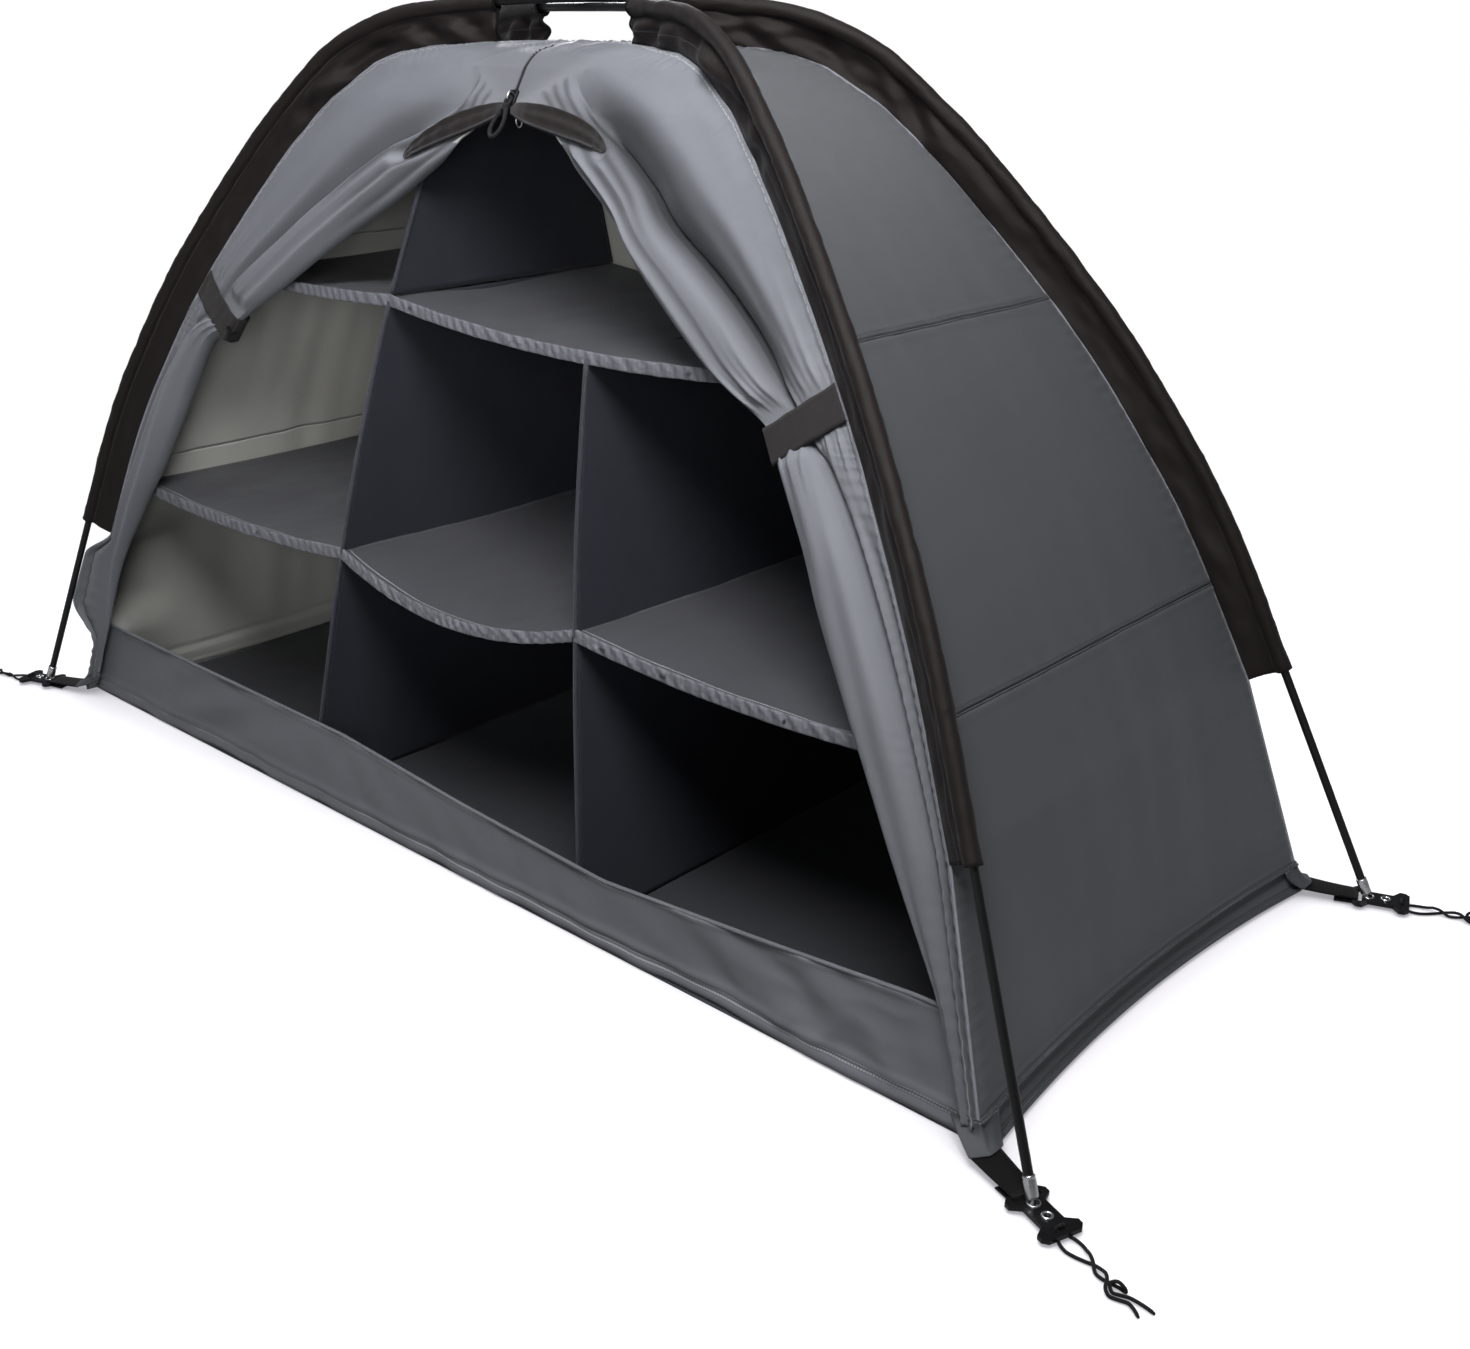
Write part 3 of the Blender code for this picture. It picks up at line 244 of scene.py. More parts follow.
# Shader maths
def maths(operation, turned=False):
    """A method of Link that adds one Math node."""
    def method(link, *others):
        values = (*others, link) if turned else (link, *others)
        return link.finish.node("ShaderNodeMath", values, operation=operation)
    return method


class Link:
    """A node's output, with arithmetic that adds Math nodes."""

    def __init__(self, finish, output):
        self.finish = finish
        self.output = output

    __add__ = maths("ADD")
    __sub__ = maths("SUBTRACT")
    __rsub__ = maths("SUBTRACT", turned=True)
    __mul__ = maths("MULTIPLY")
    __truediv__ = maths("DIVIDE")
    __pow__ = maths("POWER")
    fraction = maths("FRACT")
    sine = maths("SINE")
    size = maths("ABSOLUTE")
    under = maths("LESS_THAN")
    larger = maths("MAXIMUM")

    def rise(self, low, high):
        """Climbs smoothly from 0 at one value to 1 at another."""
        return self.finish.node("ShaderNodeMapRange", (self, low, high), interpolation_type="SMOOTHSTEP")

    def fall(self, low, high):
        return 1 - self.rise(low, high)


class Finish:
    """A material being made, node by node."""

    def __init__(self, name):
        self.material = bpy.data.materials.new(name)
        self.material.use_nodes = True
        self.tree = self.material.node_tree
        self.shader = self.tree.nodes["Principled BSDF"]

    def feed(self, socket, value):
        if isinstance(value, Link):
            self.tree.links.new(value.output, socket)
        else:
            socket.default_value = value

    def node(self, kind, inputs=(), output=0, **settings):
        made = self.tree.nodes.new(kind)
        for name, value in settings.items():
            setattr(made, name, value)
        for key, value in inputs.items() if isinstance(inputs, dict) else enumerate(inputs):
            self.feed(made.inputs[key], value)
        return Link(self, made.outputs[output])

    def surface(self, **sockets):
        """Sets the shader's own sockets, named with _ for each space, and gives the material."""
        for name, value in sockets.items():
            self.feed(self.shader.inputs[name.replace("_", " ")], value)
        return self.material

    def place(self):
        return self.node("ShaderNodeTexCoord", output="Object")

    def along(self):
        """The piece's own sheet coordinates, in metres."""
        split = self.node("ShaderNodeSeparateXYZ", [self.node("ShaderNodeUVMap", uv_map="sheet")])
        return split, Link(self, split.output.node.outputs["Y"])

    def cloud(self, scale, detail=2.0, rough_share=0.5, vector=None, distortion=0.0):
        return self.node("ShaderNodeTexNoise", {
            "Vector": vector or self.place(), "Scale": scale, "Detail": detail, "Roughness": rough_share,
            "Distortion": distortion,
        })

    def blend(self, factor, first, second):
        first = first if isinstance(first, Link) else (*first, 1.0)
        second = second if isinstance(second, Link) else (*second, 1.0)
        return self.node("ShaderNodeMix", {0: factor, 6: first, 7: second}, 2, data_type="RGBA")

    def bump(self, height, strength):
        return self.node("ShaderNodeBump", {"Height": height, "Distance": 1.0, "Strength": strength})


def scaled(colour, factor):
    return tuple(min(1.0, c * factor) for c in colour)


def waves(across, every):
    return (across * (2 * math.pi / every)).sine()


def woven(name, colour, thread=0.0009, roughness=0.46, shade=0.10, crease=0.0016, sheen=0.12, stitches=(),
          weave_depth=0.00008, gloss=0.30, shaded=None):
    """Woven polyester: tone that drifts, fine threads, soft creases, and rows of stitching where asked.

    Each row of stitching is the sheet axis it is measured along, its place there and its thread's tone.
    """
    finish = Finish(name)
    across, up = finish.along()
    fine = finish.cloud(38.0, 3.0, 0.6)
    tone = finish.cloud(3.2, 3.0, 0.55) * 0.7 + fine * 0.3
    base = finish.blend(tone, scaled(colour, 1 - shade), scaled(colour, 1 + shade))
    # Painted shade: a shaded mask, where given, darkens the colour
    if shaded:
        base = finish.blend(shaded(across, up), base, scaled(colour, 0.12))
    threads = waves(across, thread) * waves(up, thread)
    base = finish.blend(threads * 0.10 + 0.10, base, scaled(colour, 0.72))
    height = threads * weave_depth
    for axis, distance, thread_tone in stitches:
        line, run = (across, up) if axis == "u" else (up, across)
        off = (line - distance).size()
        mark = off.under(0.0007) * (run / 0.0034).fraction().under(0.72)
        base = finish.blend(mark, base, thread_tone)
        height = height + mark * 0.0003 - off.under(0.0022) * 0.00022
    creases = finish.cloud(11.0, 5.0, 0.58, distortion=0.6)
    height = height + creases * crease + finish.cloud(55.0, 3.0, 0.6) * (crease * 0.10)
    return finish.surface(
        Base_Color=base, Roughness=(fine - 0.5) * 0.14 + roughness, Normal=finish.bump(height, 0.8),
        Sheen_Weight=sheen, Sheen_Roughness=0.35, Sheen_Tint=(0.92, 0.95, 1.0, 1.0), Specular_IOR_Level=gloss,
    )


def painted_fold_shade(across, up, wide, top, strength):
    """How much painted shade darkens a door's cloth: in the long valley, the roll's pleats, at the crown and
    towards the foot.
    """
    above = up.rise(0.45, 0.53) * up.fall(top, top + 0.12)
    below = up.fall(0.36, 0.41)
    valley = across.rise(0.100 - wide, 0.104 - wide * 0.35) * across.fall(0.118, 0.170) * above * strength
    core = across.rise(0.1125, 0.1165) * across.fall(0.1225, 0.1290) * above * strength
    line = across.rise(0.100, 0.111) * across.fall(0.1135, 0.121) * below * 0.60
    crease = across.rise(0.033, 0.044) * across.fall(0.046, 0.060) * below * 0.38
    groove = ((across * 29.47 + up * 2.245 - 3.62) * math.pi).sine().size() ** 3.0
    pleats = groove * across.rise(0.126, 0.138) * across.fall(0.225, 0.240)
    pleats = pleats * up.rise(0.56, 0.64) * up.fall(0.82, 0.87) * 0.62
    crown = up.rise(0.84, 0.95) * 0.22
    return valley + core * 0.7 + line + crease + pleats + crown + up.fall(0.05, 0.46) * 0.16


def gathered(across, up):
    """Painted shade: slanting light and dark along a hem drawn up by its thread."""
    made = []
    for every, turns, drift, depth in ((0.0160, 2, 31.0, 0.7), (0.0061, 1, 23.0, 0.5)):
        slant = up * (1 / every) + across * (turns / 0.028) + (up * drift).sine() * depth
        made.append(waves(slant, 1) * 0.5 + 0.5)
    return made[0] ** 1.5 * 0.50 + made[1] ** 2.0 * 0.16


def ribbed(name, colour, rib, gloss=0.3):
    """Webbing: ribs across its length, darker between them, and a denser edge."""
    finish = Finish(name)
    across, up = finish.along()
    ribs = waves(up, rib)
    weave = ribs * 0.6 + waves(across, 0.0016) * ribs * 0.4
    worn = finish.cloud(60.0, 3.0)
    base = finish.blend(weave * 0.3 + 0.4, scaled(colour, 0.55), scaled(colour, 1.35))
    base = finish.blend((worn - 0.5) * 0.5, base, scaled(colour, 2.2))
    return finish.surface(
        Base_Color=base, Roughness=(worn - 0.5) * 0.2 + 0.7, Sheen_Weight=0.06, Sheen_Roughness=0.5,
        Normal=finish.bump(weave * 0.00022 + worn * 0.0001, 0.9), Specular_IOR_Level=gloss,
    )


def braided(name, colour, pitch=0.0032):
    """Braided cord, with its strands crossing both ways."""
    finish = Finish(name)
    across, up = finish.along()
    strands = waves(across + up * (1 / pitch), 1).larger(waves(across * 3 - up * (1 / pitch), 1))
    base = finish.blend(strands * 0.5 + 0.5, scaled(colour, 0.5), scaled(colour, 1.7))
    return finish.surface(
        Base_Color=base, Roughness=(finish.cloud(400.0) - 0.5) * 0.2 + 0.72,
        Normal=finish.bump(strands * 0.00025, 0.8), Sheen_Weight=0.05, Specular_IOR_Level=0.2,
    )


def moulded(name, colour, roughness=0.32):
    """Moulded plastic: a faint texture and rubbed edges."""
    finish = Finish(name)
    wear = finish.cloud(70.0, 4.0, 0.65)
    base = finish.blend((wear - 0.52) * 1.6, colour, scaled(colour, 3.2))
    return finish.surface(
        Base_Color=base, Roughness=(wear - 0.5) * 0.25 + roughness, Specular_IOR_Level=0.30,
        Normal=finish.bump(finish.cloud(900.0) * 0.00004 + wear * 0.0001, 0.6),
    )


def rod(name, colour):
    """Pultruded rod: glossy, with faint streaks along it."""
    finish = Finish(name)
    stretched = finish.node("ShaderNodeMapping", {"Vector": finish.place(), "Scale": (160.0, 160.0, 14.0)})
    streaks = finish.cloud(1.0, 3.0, 0.6, stretched)
    base = finish.blend(streaks * 0.5, scaled(colour, 0.7), scaled(colour, 1.8))
    return finish.surface(
        Base_Color=base, Roughness=streaks * 0.18 + 0.26, Normal=finish.bump(streaks * 0.00004, 0.5),
        Specular_IOR_Level=0.35,
    )


def plated(name, colour, roughness=0.28):
    """Plated metal with fine scratches and duller patches."""
    finish = Finish(name)
    patch = finish.cloud(90.0, 3.0)
    base = finish.blend(patch * 0.5, colour, scaled(colour, 0.7))
    return finish.surface(
        Base_Color=base, Metallic=1.0, Roughness=(patch - 0.5) * 0.25 + roughness,
        Normal=finish.bump(finish.cloud(500.0, 4.0, 0.7) * 0.00003, 0.5),
    )


LIGHT_THREAD = (0.30, 0.31, 0.33)
DARK_THREAD = (0.035, 0.033, 0.036)
BODY = (0.150, 0.157, 0.178)
SIDE = (0.102, 0.106, 0.117)
# The lining's light grey is partly its own and partly painted light, for light shining through the walls
LINING = (0.500, 0.502, 0.475)
SHELF = (0.050, 0.051, 0.059)
CHARCOAL = (0.020, 0.021, 0.029)
BROWN = (0.0105, 0.0078, 0.0078)
BLACK = (0.003, 0.003, 0.0034)

# Each door's valley: how wide and how high the shade painted in it is, and how strong
door_cloths = {}
for label, wide, top, strength in (("left", 0.030, 0.66, 0.50), ("right", 0.054, 0.665, 0.88)):
    door_cloths[label] = woven(
        f"door_cloth_{label}", BODY, stitches=(("u", 0.006, LIGHT_THREAD),),
        shaded=lambda across, up: painted_fold_shade(across, up, wide, top, strength),
    )
# Each side wall's rows of stitching, and how the shade painted on it runs up it
wall_cloths = {}
for span, rows, shaded in (
    ("lower", (0.0265, 0.0335, 0.008), lambda across, up: up.rise(0.0, 0.32) * 0.27 + 0.25),
    ("middle", (0.0055,), lambda across, up: up.rise(0.0, 0.30) * 0.02 + 0.52),
    ("upper", (0.0055,), lambda across, up: up.fall(-0.06, 0.30) * 0.30 + 0.24),
):
    wall_cloths[span] = woven(
        f"wall_{span}_cloth", SIDE, shade=0.08, crease=0.0011, shaded=shaded,
        stitches=[("v", row, DARK_THREAD) for row in rows],
    )
# The lip's cloth is the body's cloth darkened: painted shade on the low front wall
lip_cloth = woven(
    "lip_cloth", scaled(BODY, 0.74), stitches=[("v", row, LIGHT_THREAD) for row in (0.012, 0.016)],
)
wall_cloth = woven("wall_cloth", SIDE, shade=0.08, crease=0.0011)
lining_cloth = woven("lining_cloth", LINING, roughness=0.6, shade=0.12, crease=0.0024)
# The lower walls' lining, darkened by painted shade in a band near the front edge, low down
low_lining_painted_shade_cloth = woven(
    "low_lining_painted_shade_cloth", LINING, roughness=0.6, shade=0.12, crease=0.0024,
    shaded=lambda across, up: across.rise(0.010, 0.050) * across.fall(0.06, 0.20) * up.fall(0.22, 0.32) * 0.74
)
shelf_cloth = woven("shelf_cloth", SHELF, roughness=0.55, crease=0.002, stitches=[("v", 0.010, LIGHT_THREAD)])
floor_cloth = woven("floor_cloth", (0.030, 0.031, 0.036), roughness=0.55)
divider_cloth = woven("divider_cloth", CHARCOAL, roughness=0.58, crease=0.0022, gloss=0.15)
dark_piping_cloth = woven("dark_piping_cloth", scaled(SIDE, 0.45), crease=0.0006)
patch_cloth = woven("patch_cloth", scaled(BODY, 0.34), crease=0.0012, stitches=(("v", 0.006, LIGHT_THREAD),))
piping_cloth = woven("piping_cloth", scaled(BODY, 1.5), crease=0.0006)
hem_cloth = woven("hem_cloth", scaled(BODY, 0.8), crease=0.0008)
shelf_hem_cloth = woven("shelf_hem_cloth", scaled(SHELF, 2.9), crease=0.0008, shaded=gathered)
dark_hem_cloth = woven("dark_hem_cloth", scaled(CHARCOAL, 1.2), crease=0.0008)
sleeve_cloth = woven(
    "sleeve_cloth", BROWN, roughness=0.52, crease=0.0024, sheen=0.05, gloss=0.16,
    stitches=[("u", row, DARK_THREAD) for row in (0.0290, 0.0850)],
)
binding_cloth = woven("binding_cloth", BLACK, crease=0.0004, sheen=0.02, gloss=0.1)
tape_cloth = woven(
    "tape_cloth", BROWN, thread=0.0016, roughness=0.6, crease=0.0012, sheen=0.1, weave_depth=0.00016,
)
strap_webbing = ribbed("strap_webbing", (0.0016, 0.0016, 0.0019), 0.0016, 0.12)
tie_webbing = ribbed("tie_webbing", (0.0120, 0.0096, 0.0100), 0.0020)
cord_braid = braided("cord_braid", (0.0026, 0.0026, 0.0030))
pull_braid = braided("pull_braid", (0.0045, 0.0045, 0.0055))
black_plastic = moulded("black_plastic_worn", BLACK)
zip_plastic = moulded("zip_plastic", (0.022, 0.022, 0.026), 0.5)
glossy_rod = rod("glossy_rod", (0.0030, 0.0030, 0.0034))
plated_metal = plated("plated_metal", (0.66, 0.66, 0.68))
dark_metal = plated("dark_metal", (0.028, 0.028, 0.032), 0.35)


# Making pieces
def finish_piece(name, mesh, materials, replaced=(), body="cupboard"):
    """Turns a bmesh into a piece that rides on its body, in place of the solids named."""
    data = bpy.data.meshes.new(name)
    mesh.to_mesh(data)
    mesh.free()
    for material in materials:
        data.materials.append(material)
    data.polygons.foreach_set("use_smooth", [True] * len(data.polygons))
    made = bpy.data.objects.new(name, data)
    bpy.context.scene.collection.objects.link(made)
    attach(made, body)
    if replaced:
        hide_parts(*replaced)
    return made


def grid_mesh(columns, rows, place, size, joined=False, flip=False):
    """A grid whose vertices are set by place(u, v), with sheet coordinates of this size in metres."""
    mesh = bmesh.new()
    layer = mesh.loops.layers.uv.new("sheet")
    bmesh.ops.create_grid(mesh, x_segments=columns, y_segments=rows, size=0.5)
    for face in mesh.faces:
        for loop in face.loops:
            co = loop.vert.co
            loop[layer].uv = ((co.x + 0.5) * size[0], (co.y + 0.5) * size[1])
    for vertex in mesh.verts:
        vertex.co = place(vertex.co.x + 0.5, vertex.co.y + 0.5)
    if joined:
        bmesh.ops.remove_doubles(mesh, verts=mesh.verts, dist=0.00002)
    if flip:
        bmesh.ops.reverse_faces(mesh, faces=mesh.faces)
    return mesh


def make_sheet(name, grid, place, size, materials, replaced, thickness, centred=False, flip=False,
               turned=False, body="cupboard"):
    """A sheet set by place(u, v), thick on its inner face or to both sides. A second material lines it.

    With turned, Blender turns its faces to one side.
    """
    mesh = grid_mesh(*grid, place, size, flip=flip)
    if turned:
        bmesh.ops.recalc_face_normals(mesh, faces=mesh.faces)
    made = finish_piece(name, mesh, materials, replaced, body)
    solid = made.modifiers.new("thickness", "SOLIDIFY")
    solid.thickness = thickness
    solid.offset = 0.0 if centred else -1.0
    solid.material_offset = len(materials) - 1
    return made


def close_ends(mesh, sides):
    bmesh.ops.holes_fill(mesh, edges=[e for e in mesh.edges if e.is_boundary], sides=sides)
    bmesh.ops.recalc_face_normals(mesh, faces=mesh.faces)
    return mesh


def tube_mesh(points, radius, sides, closed=False):
    """A round tube along points, whose radius is a number or a function of the share along it."""
    ends = (points[-1], points[0]) if closed else (points[0], points[-1])
    padded = [ends[0], *points, ends[1]]
    frames = []
    side = None
    for before, place, after in zip(padded, points, padded[2:]):
        along = (after - before).normalized()
        side = along.orthogonal() if side is None else side - along * side.dot(along)
        side.normalize()
        frames.append((place, side.copy(), along.cross(side)))
    if closed:
        frames.append(frames[0])
    lengths = Line([place for place, _, _ in frames]).lengths
    rows = len(frames) - 1

    def place_on(u, v):
        k = min(int(round(v * rows)), rows)
        middle, one, other = frames[k]
        turn = 2 * math.pi * u
        thick = radius(lengths[k] / lengths[-1]) if callable(radius) else radius
        return middle + (one * math.cos(turn) + other * math.sin(turn)) * thick

    mesh = grid_mesh(sides, rows, place_on, (1.0, lengths[-1]), joined=True)
    return close_ends(mesh, sides + 2)


def make_tube(name, points, radius, sides, material, replaced=(), body="cupboard", closed=False):
    return finish_piece(name, tube_mesh(points, radius, sides, closed), [material], replaced, body)


def smooth_line(points, steps):
    """A smooth line through points, with this many steps in each span."""
    return [Vector(glide(points, k / steps)) for k in range((len(points) - 1) * steps + 1)]


def ring(place, radius):
    """28 places round a circle, each from place(x, y)."""
    turns = [2 * math.pi * k / 28 for k in range(28)]
    return [place(radius * math.cos(turn), radius * math.sin(turn)) for turn in turns]


# The anchor cords, two halves each from the plate's outer bar, in millimetres
CORD_HALVES = {
    "long": (
        (19.8, 0, 9.4), (20, 3.4, 9.2), (20.4, 4.3, 5.4), (21, 4.4, 2.2), (24, 5, 1.6), (31, 7.2, 1.6),
        (38, 8, 1.6), (45, 6.6, 2.6), (52, 4.2, 4.9), (59, 1.2, 4.6), (66, -2.4, 2), (73, -2.2, 1.8),
        (80, 0.6, 1.8), (87, 3.4, 1.8), (92.5, 4.6, 1.9), (91.5, 3.6, 6), (86.5, 1.5, 8.2), (83.5, -3, 6.2),
        (88, -4.8, 2.4), (93, -1.5, 2.2), (98.5, 3, 2.2), (105, 6, 1.8), (112, 8, 1.6), (119, 9, 1.6),
    ),
    "short": (
        (19.8, 0, 9.4), (20, -3.4, 9.2), (20.4, -4.3, 5.4), (21, -4.4, 2.2), (24, -5, 1.6), (31, -7.2, 1.6),
        (38, -7.6, 1.6), (45, -5.4, 1.6), (52, -2, 1.6), (59, 2, 1.6), (66, 2.6, 3.4), (73, 1.8, 5),
        (79, -2.2, 5.6), (83.5, -7.2, 3.8), (89.5, -8.6, 1.7), (96, -5, 1.7), (102, -1, 1.7),
        (109, -1.4, 1.6), (116, -3.6, 1.6),
    ),
}
PLATE_BOTTOM, PLATE_THICK, PLATE_LENGTH, PIN_HOLE_BACK = 0.0034, 0.004, 0.056, 0.0155


class Anchor:
    """The place of one ground anchor: out along its webbing, sideways, and up."""

    def __init__(self, label):
        sx, sy = CORNERS[label]
        self.label = label
        self.corner = Vector((sx * CORNER_X, sy * CORNER_Y, 0))
        foot = Vector((sx * FOOT_X, sy * FOOT_Y, 0))
        self.out = (foot - self.corner).normalized()
        self.side = Vector((-self.out.y, self.out.x, 0))
        share, rise = ARCH_SHARES[1]
        flat = math.hypot(FOOT_X * (1 - share), FOOT_Y * (1 - share ** 1.12))
        lean = flat / (rise * CROWN_Z)
        hole = foot - self.out * lean * (PLATE_BOTTOM + PLATE_THICK / 2)
        self.middle = hole + self.out * (PLATE_LENGTH / 2 - PIN_HOLE_BACK)

    def at(self, x, y, z):
        return self.middle + self.out * x + self.side * y + UPWARD * z


ANCHORS = [Anchor(label) for label in CORNERS]


def cord_radius(share):
    return 0.0015 if share < 0.985 else 0.0012


def lay_cords():
    for anchor in ANCHORS:
        for half, route in CORD_HALVES.items():
            line = smooth_line([anchor.at(*place) for place in thousandths(*route)], 5)
            made = make_tube(
                f"cord_{anchor.label}_{half}", line, cord_radius, 12, cord_braid,
                [f"anchor_cord_{anchor.label}"],
            )
            anchor.at(0.0198, 0.0, 0.0094)
            round(Line(line).total, 3)


lay_cords()


# Poles
def pole_line(side, lift):
    """A whole pole from its front foot over the crown to its rear foot."""
    rising = [Vector((side * p.x, -p.y, p.z + lift * ease(1 - p.x / 0.26))) for p in ARCH]
    return rising + [Vector((-p.x, -p.y, p.z)) for p in reversed(rising[:-1])]


POLES = {"a": Line(pole_line(-1, POLE_LIFT)), "b": Line(pole_line(1, -POLE_LIFT))}
POLE_ENDS = {"a": ("front_left", "rear_right"), "b": ("front_right", "rear_left")}
# A pole tip from its pin up: the length along the pole and the radius there
TIP_PROFILE = (
    (0.0016, 0.0012), (0.0022, 0.0019), (0.0034, PIN_RADIUS), (0.0110, PIN_RADIUS), (0.0113, 0.0046),
    (0.0120, 0.0054), (0.0135, TIP_RADIUS), (0.0262, TIP_RADIUS), (0.0270, 0.0053), (0.0280, 0.0053),
    (0.0288, TIP_RADIUS), (0.0296, 0.0053), (0.0302, 0.0046),
)


def collar_radius(share):
    return FERRULE_RADIUS - 0.0003 * (hump(share, 0.03) + hump(share - 1, 0.03))


def make_poles():
    for label, pole in POLES.items():
        step = (pole.total - 2 * ROD_INSET) / 3
        for k in range(3):
            start = ROD_INSET + k * step
            line = pole.stretch(start, start + step - CLEAR)
            make_tube(
                f"rod_{label}_{k + 1}", line, POLE_RADIUS, 18, glossy_rod,
                [f"pole_{label}_section_{k + 1}"],
            )
            if k:
                line = pole.stretch(start - 0.030, start + 0.030, 0.002)
                make_tube(
                    f"collar_{label}_{k}", line, collar_radius, 18, plated_metal,
                    [f"pole_{label}_ferrule_{k}"],
                )
        for end, name in enumerate(POLE_ENDS[label]):
            line = [pole.at(pole.total - s if end else s) for s, _ in TIP_PROFILE]
            runs = Line(line).lengths
            table = [(run / runs[-1], radius) for run, (_, radius) in zip(runs, TIP_PROFILE)]
            make_tube(
                f"tip_{name}", line, lambda share: lookup(table, share), 20, plated_metal,
                [f"pole_tip_{name}"],
            )


SLEEVE_SEEDS = {"front_left": 1.0, "front_right": 4.0, "rear_left": 7.0, "rear_right": 11.0}
FIN_SHARE = 0.29


def make_sleeve(label, pole, end, name):
    """A cloth tube round the pole, with a fin sewn down to the seam."""
    stops = []
    for place, length in zip(pole.points, pole.lengths):
        mine = length > pole.total / 2 if end else length < pole.total / 2
        if mine and place.z >= SLEEVE_LOW_Z and math.hypot(place.x, place.y) > SLEEVE_GAP:
            stops.append(length)
    low, high = min(stops), max(stops)
    low, high = (low - 0.009, high) if end else (low, high + 0.009)
    seed = SLEEVE_SEEDS[name]

    def place_on(u, v):
        length = low + (high - low) * v
        middle, _, side = pole.frame(length)
        foot = seam_under(middle)
        down = (foot - middle).normalized()
        side = (side - down * side.dot(down)).normalized()
        if u < FIN_SHARE or u > 1 - FIN_SHARE:
            way, share = (1, u / FIN_SHARE) if u < 0.5 else (-1, (1 - u) / FIN_SHARE)
            depth = (foot - middle).length + 0.0003
            b = depth + (SLEEVE_RADIUS * 0.95 - depth) * share
            bent = ease((middle.z - 0.72) / 0.10)
            slack = math.sin(math.pi * min(1.0, share)) * (0.0034 + 0.0062 * bent)
            fold = rough(length * 9, seed, 0.3) * 1.3 + rough(length * 30, seed, share * 2) * 0.7
            fold += bent * math.sin(length * 75 + 3 * share + 2 * math.sin(length * 21)) * 0.5
            a = way * (0.0011 + 0.0006 * ease((share - 0.8) * 5)) + slack * fold
        else:
            turn = (u - FIN_SHARE) / (1 - 2 * FIN_SHARE) * (2 * math.pi - 0.5) + 0.25
            swell = 1.0 + 0.10 * rough(length * 45, math.cos(turn) * 1.5, seed)
            swell += 0.06 * rough(length * 130, math.sin(turn) * 2.5, seed)
            a, b = SLEEVE_RADIUS * swell * math.sin(turn), SLEEVE_RADIUS * swell * math.cos(turn)
        return middle + side * a + down * b

    edge = [place_on(k / 80, 0.0 if end else 1.0) for k in range(81)]
    make_tube(f"sleeve_binding_{name}", edge, 0.0013, 8, binding_cloth)
    made = make_sheet(
        f"pole_sleeve_{name}", (44, int((high - low) / 0.004)), place_on, (0.100, high - low), [sleeve_cloth],
        [f"sleeve_{name}"], 0.0007, flip=True, turned=True,
    )


def seam_under(place):
    """The seam place under a place on a pole."""
    x = abs(place.x)
    k = min(range(1, len(ARCH) - 1), key=lambda k: abs(ARCH[k].x - x))
    a, b = ARCH[k], ARCH[k + 1] if x < ARCH[k].x else ARCH[k - 1]
    found = a.lerp(b, (x - a.x) / (b.x - a.x)) - outward(ARCH[k - 1], ARCH[k + 1]) * FIN
    found = SEAM.at_x(found.x) if found.x > 0.004 else found
    return Vector((math.copysign(found.x, place.x), math.copysign(found.y, place.y), found.z))


# The doors, row by row, in thousandths: edge x and z, seam x, valley share, valley depth, roll height, curl
DOOR_TOP = (
    (1.6, 787.2, 120, 920, 0, 0, 0), (1.6, 800, 100, 920, 0, 0, 0), (1.6, 820, 68, 920, 0, 0, 0),
    (1.6, 836, 35, 920, 0, 0, 0), (0.8, 846, 5, 920, 0, 0, 0),
)
DOORS = {
    "left": thousandths(
        (722, 22, 743, 300, 1, 1, 300), (690, 100, 718, 280, 1, 3, 600), (658, 193, 690.5, 260, 2, 6, 900),
        (614, 278, 661, 240, 4, 10, 1000), (578, 337, 635, 240, 5, 12, 1000),
        (544, 398, 605, 240, 6, 13, 1000), (514, 453, 573, 260, 6, 13, 1000),
        (474, 505, 535, 340, 5, 10, 1000), (428, 530, 512, 460, 4, 7, 1000),
        (374, 565, 460, 500, 7, 10, 1000), (250, 642, 350, 620, 10, 12, 1000),
        (178, 682, 285, 640, 10, 12, 1000), (112, 722, 205, 680, 8, 10, 1000), (45, 762, 160, 800, 4, 6, 700),
        (18, 780, 135, 880, 1, 2, 300), *DOOR_TOP,
    ),
    "right": thousandths(
        (722, 22, 743, 300, 1, 2, 300), (687, 108, 716.5, 260, 3, 4, 500), (635, 193, 690.5, 200, 6, 7, 800),
        (584, 278, 661, 200, 9, 9, 1000), (546, 337, 635, 210, 10, 11, 1000),
        (508, 398, 605, 240, 11, 12, 1000), (479, 453, 573, 300, 11, 12, 1000),
        (441, 510, 535, 400, 8, 9, 1000), (419, 541, 508, 560, 5, 6, 1000),
        (329, 583, 455, 470, 11, 12, 1000), (225, 654, 340, 650, 13, 13, 1000),
        (178, 695, 285, 670, 12, 11, 1000), (104, 740, 205, 690, 9, 8, 900), (61, 770, 160, 780, 5, 5, 600),
        (22, 783.5, 135, 880, 1, 2, 200), *DOOR_TOP,
    ),
}
TIE_ROW = 8.0


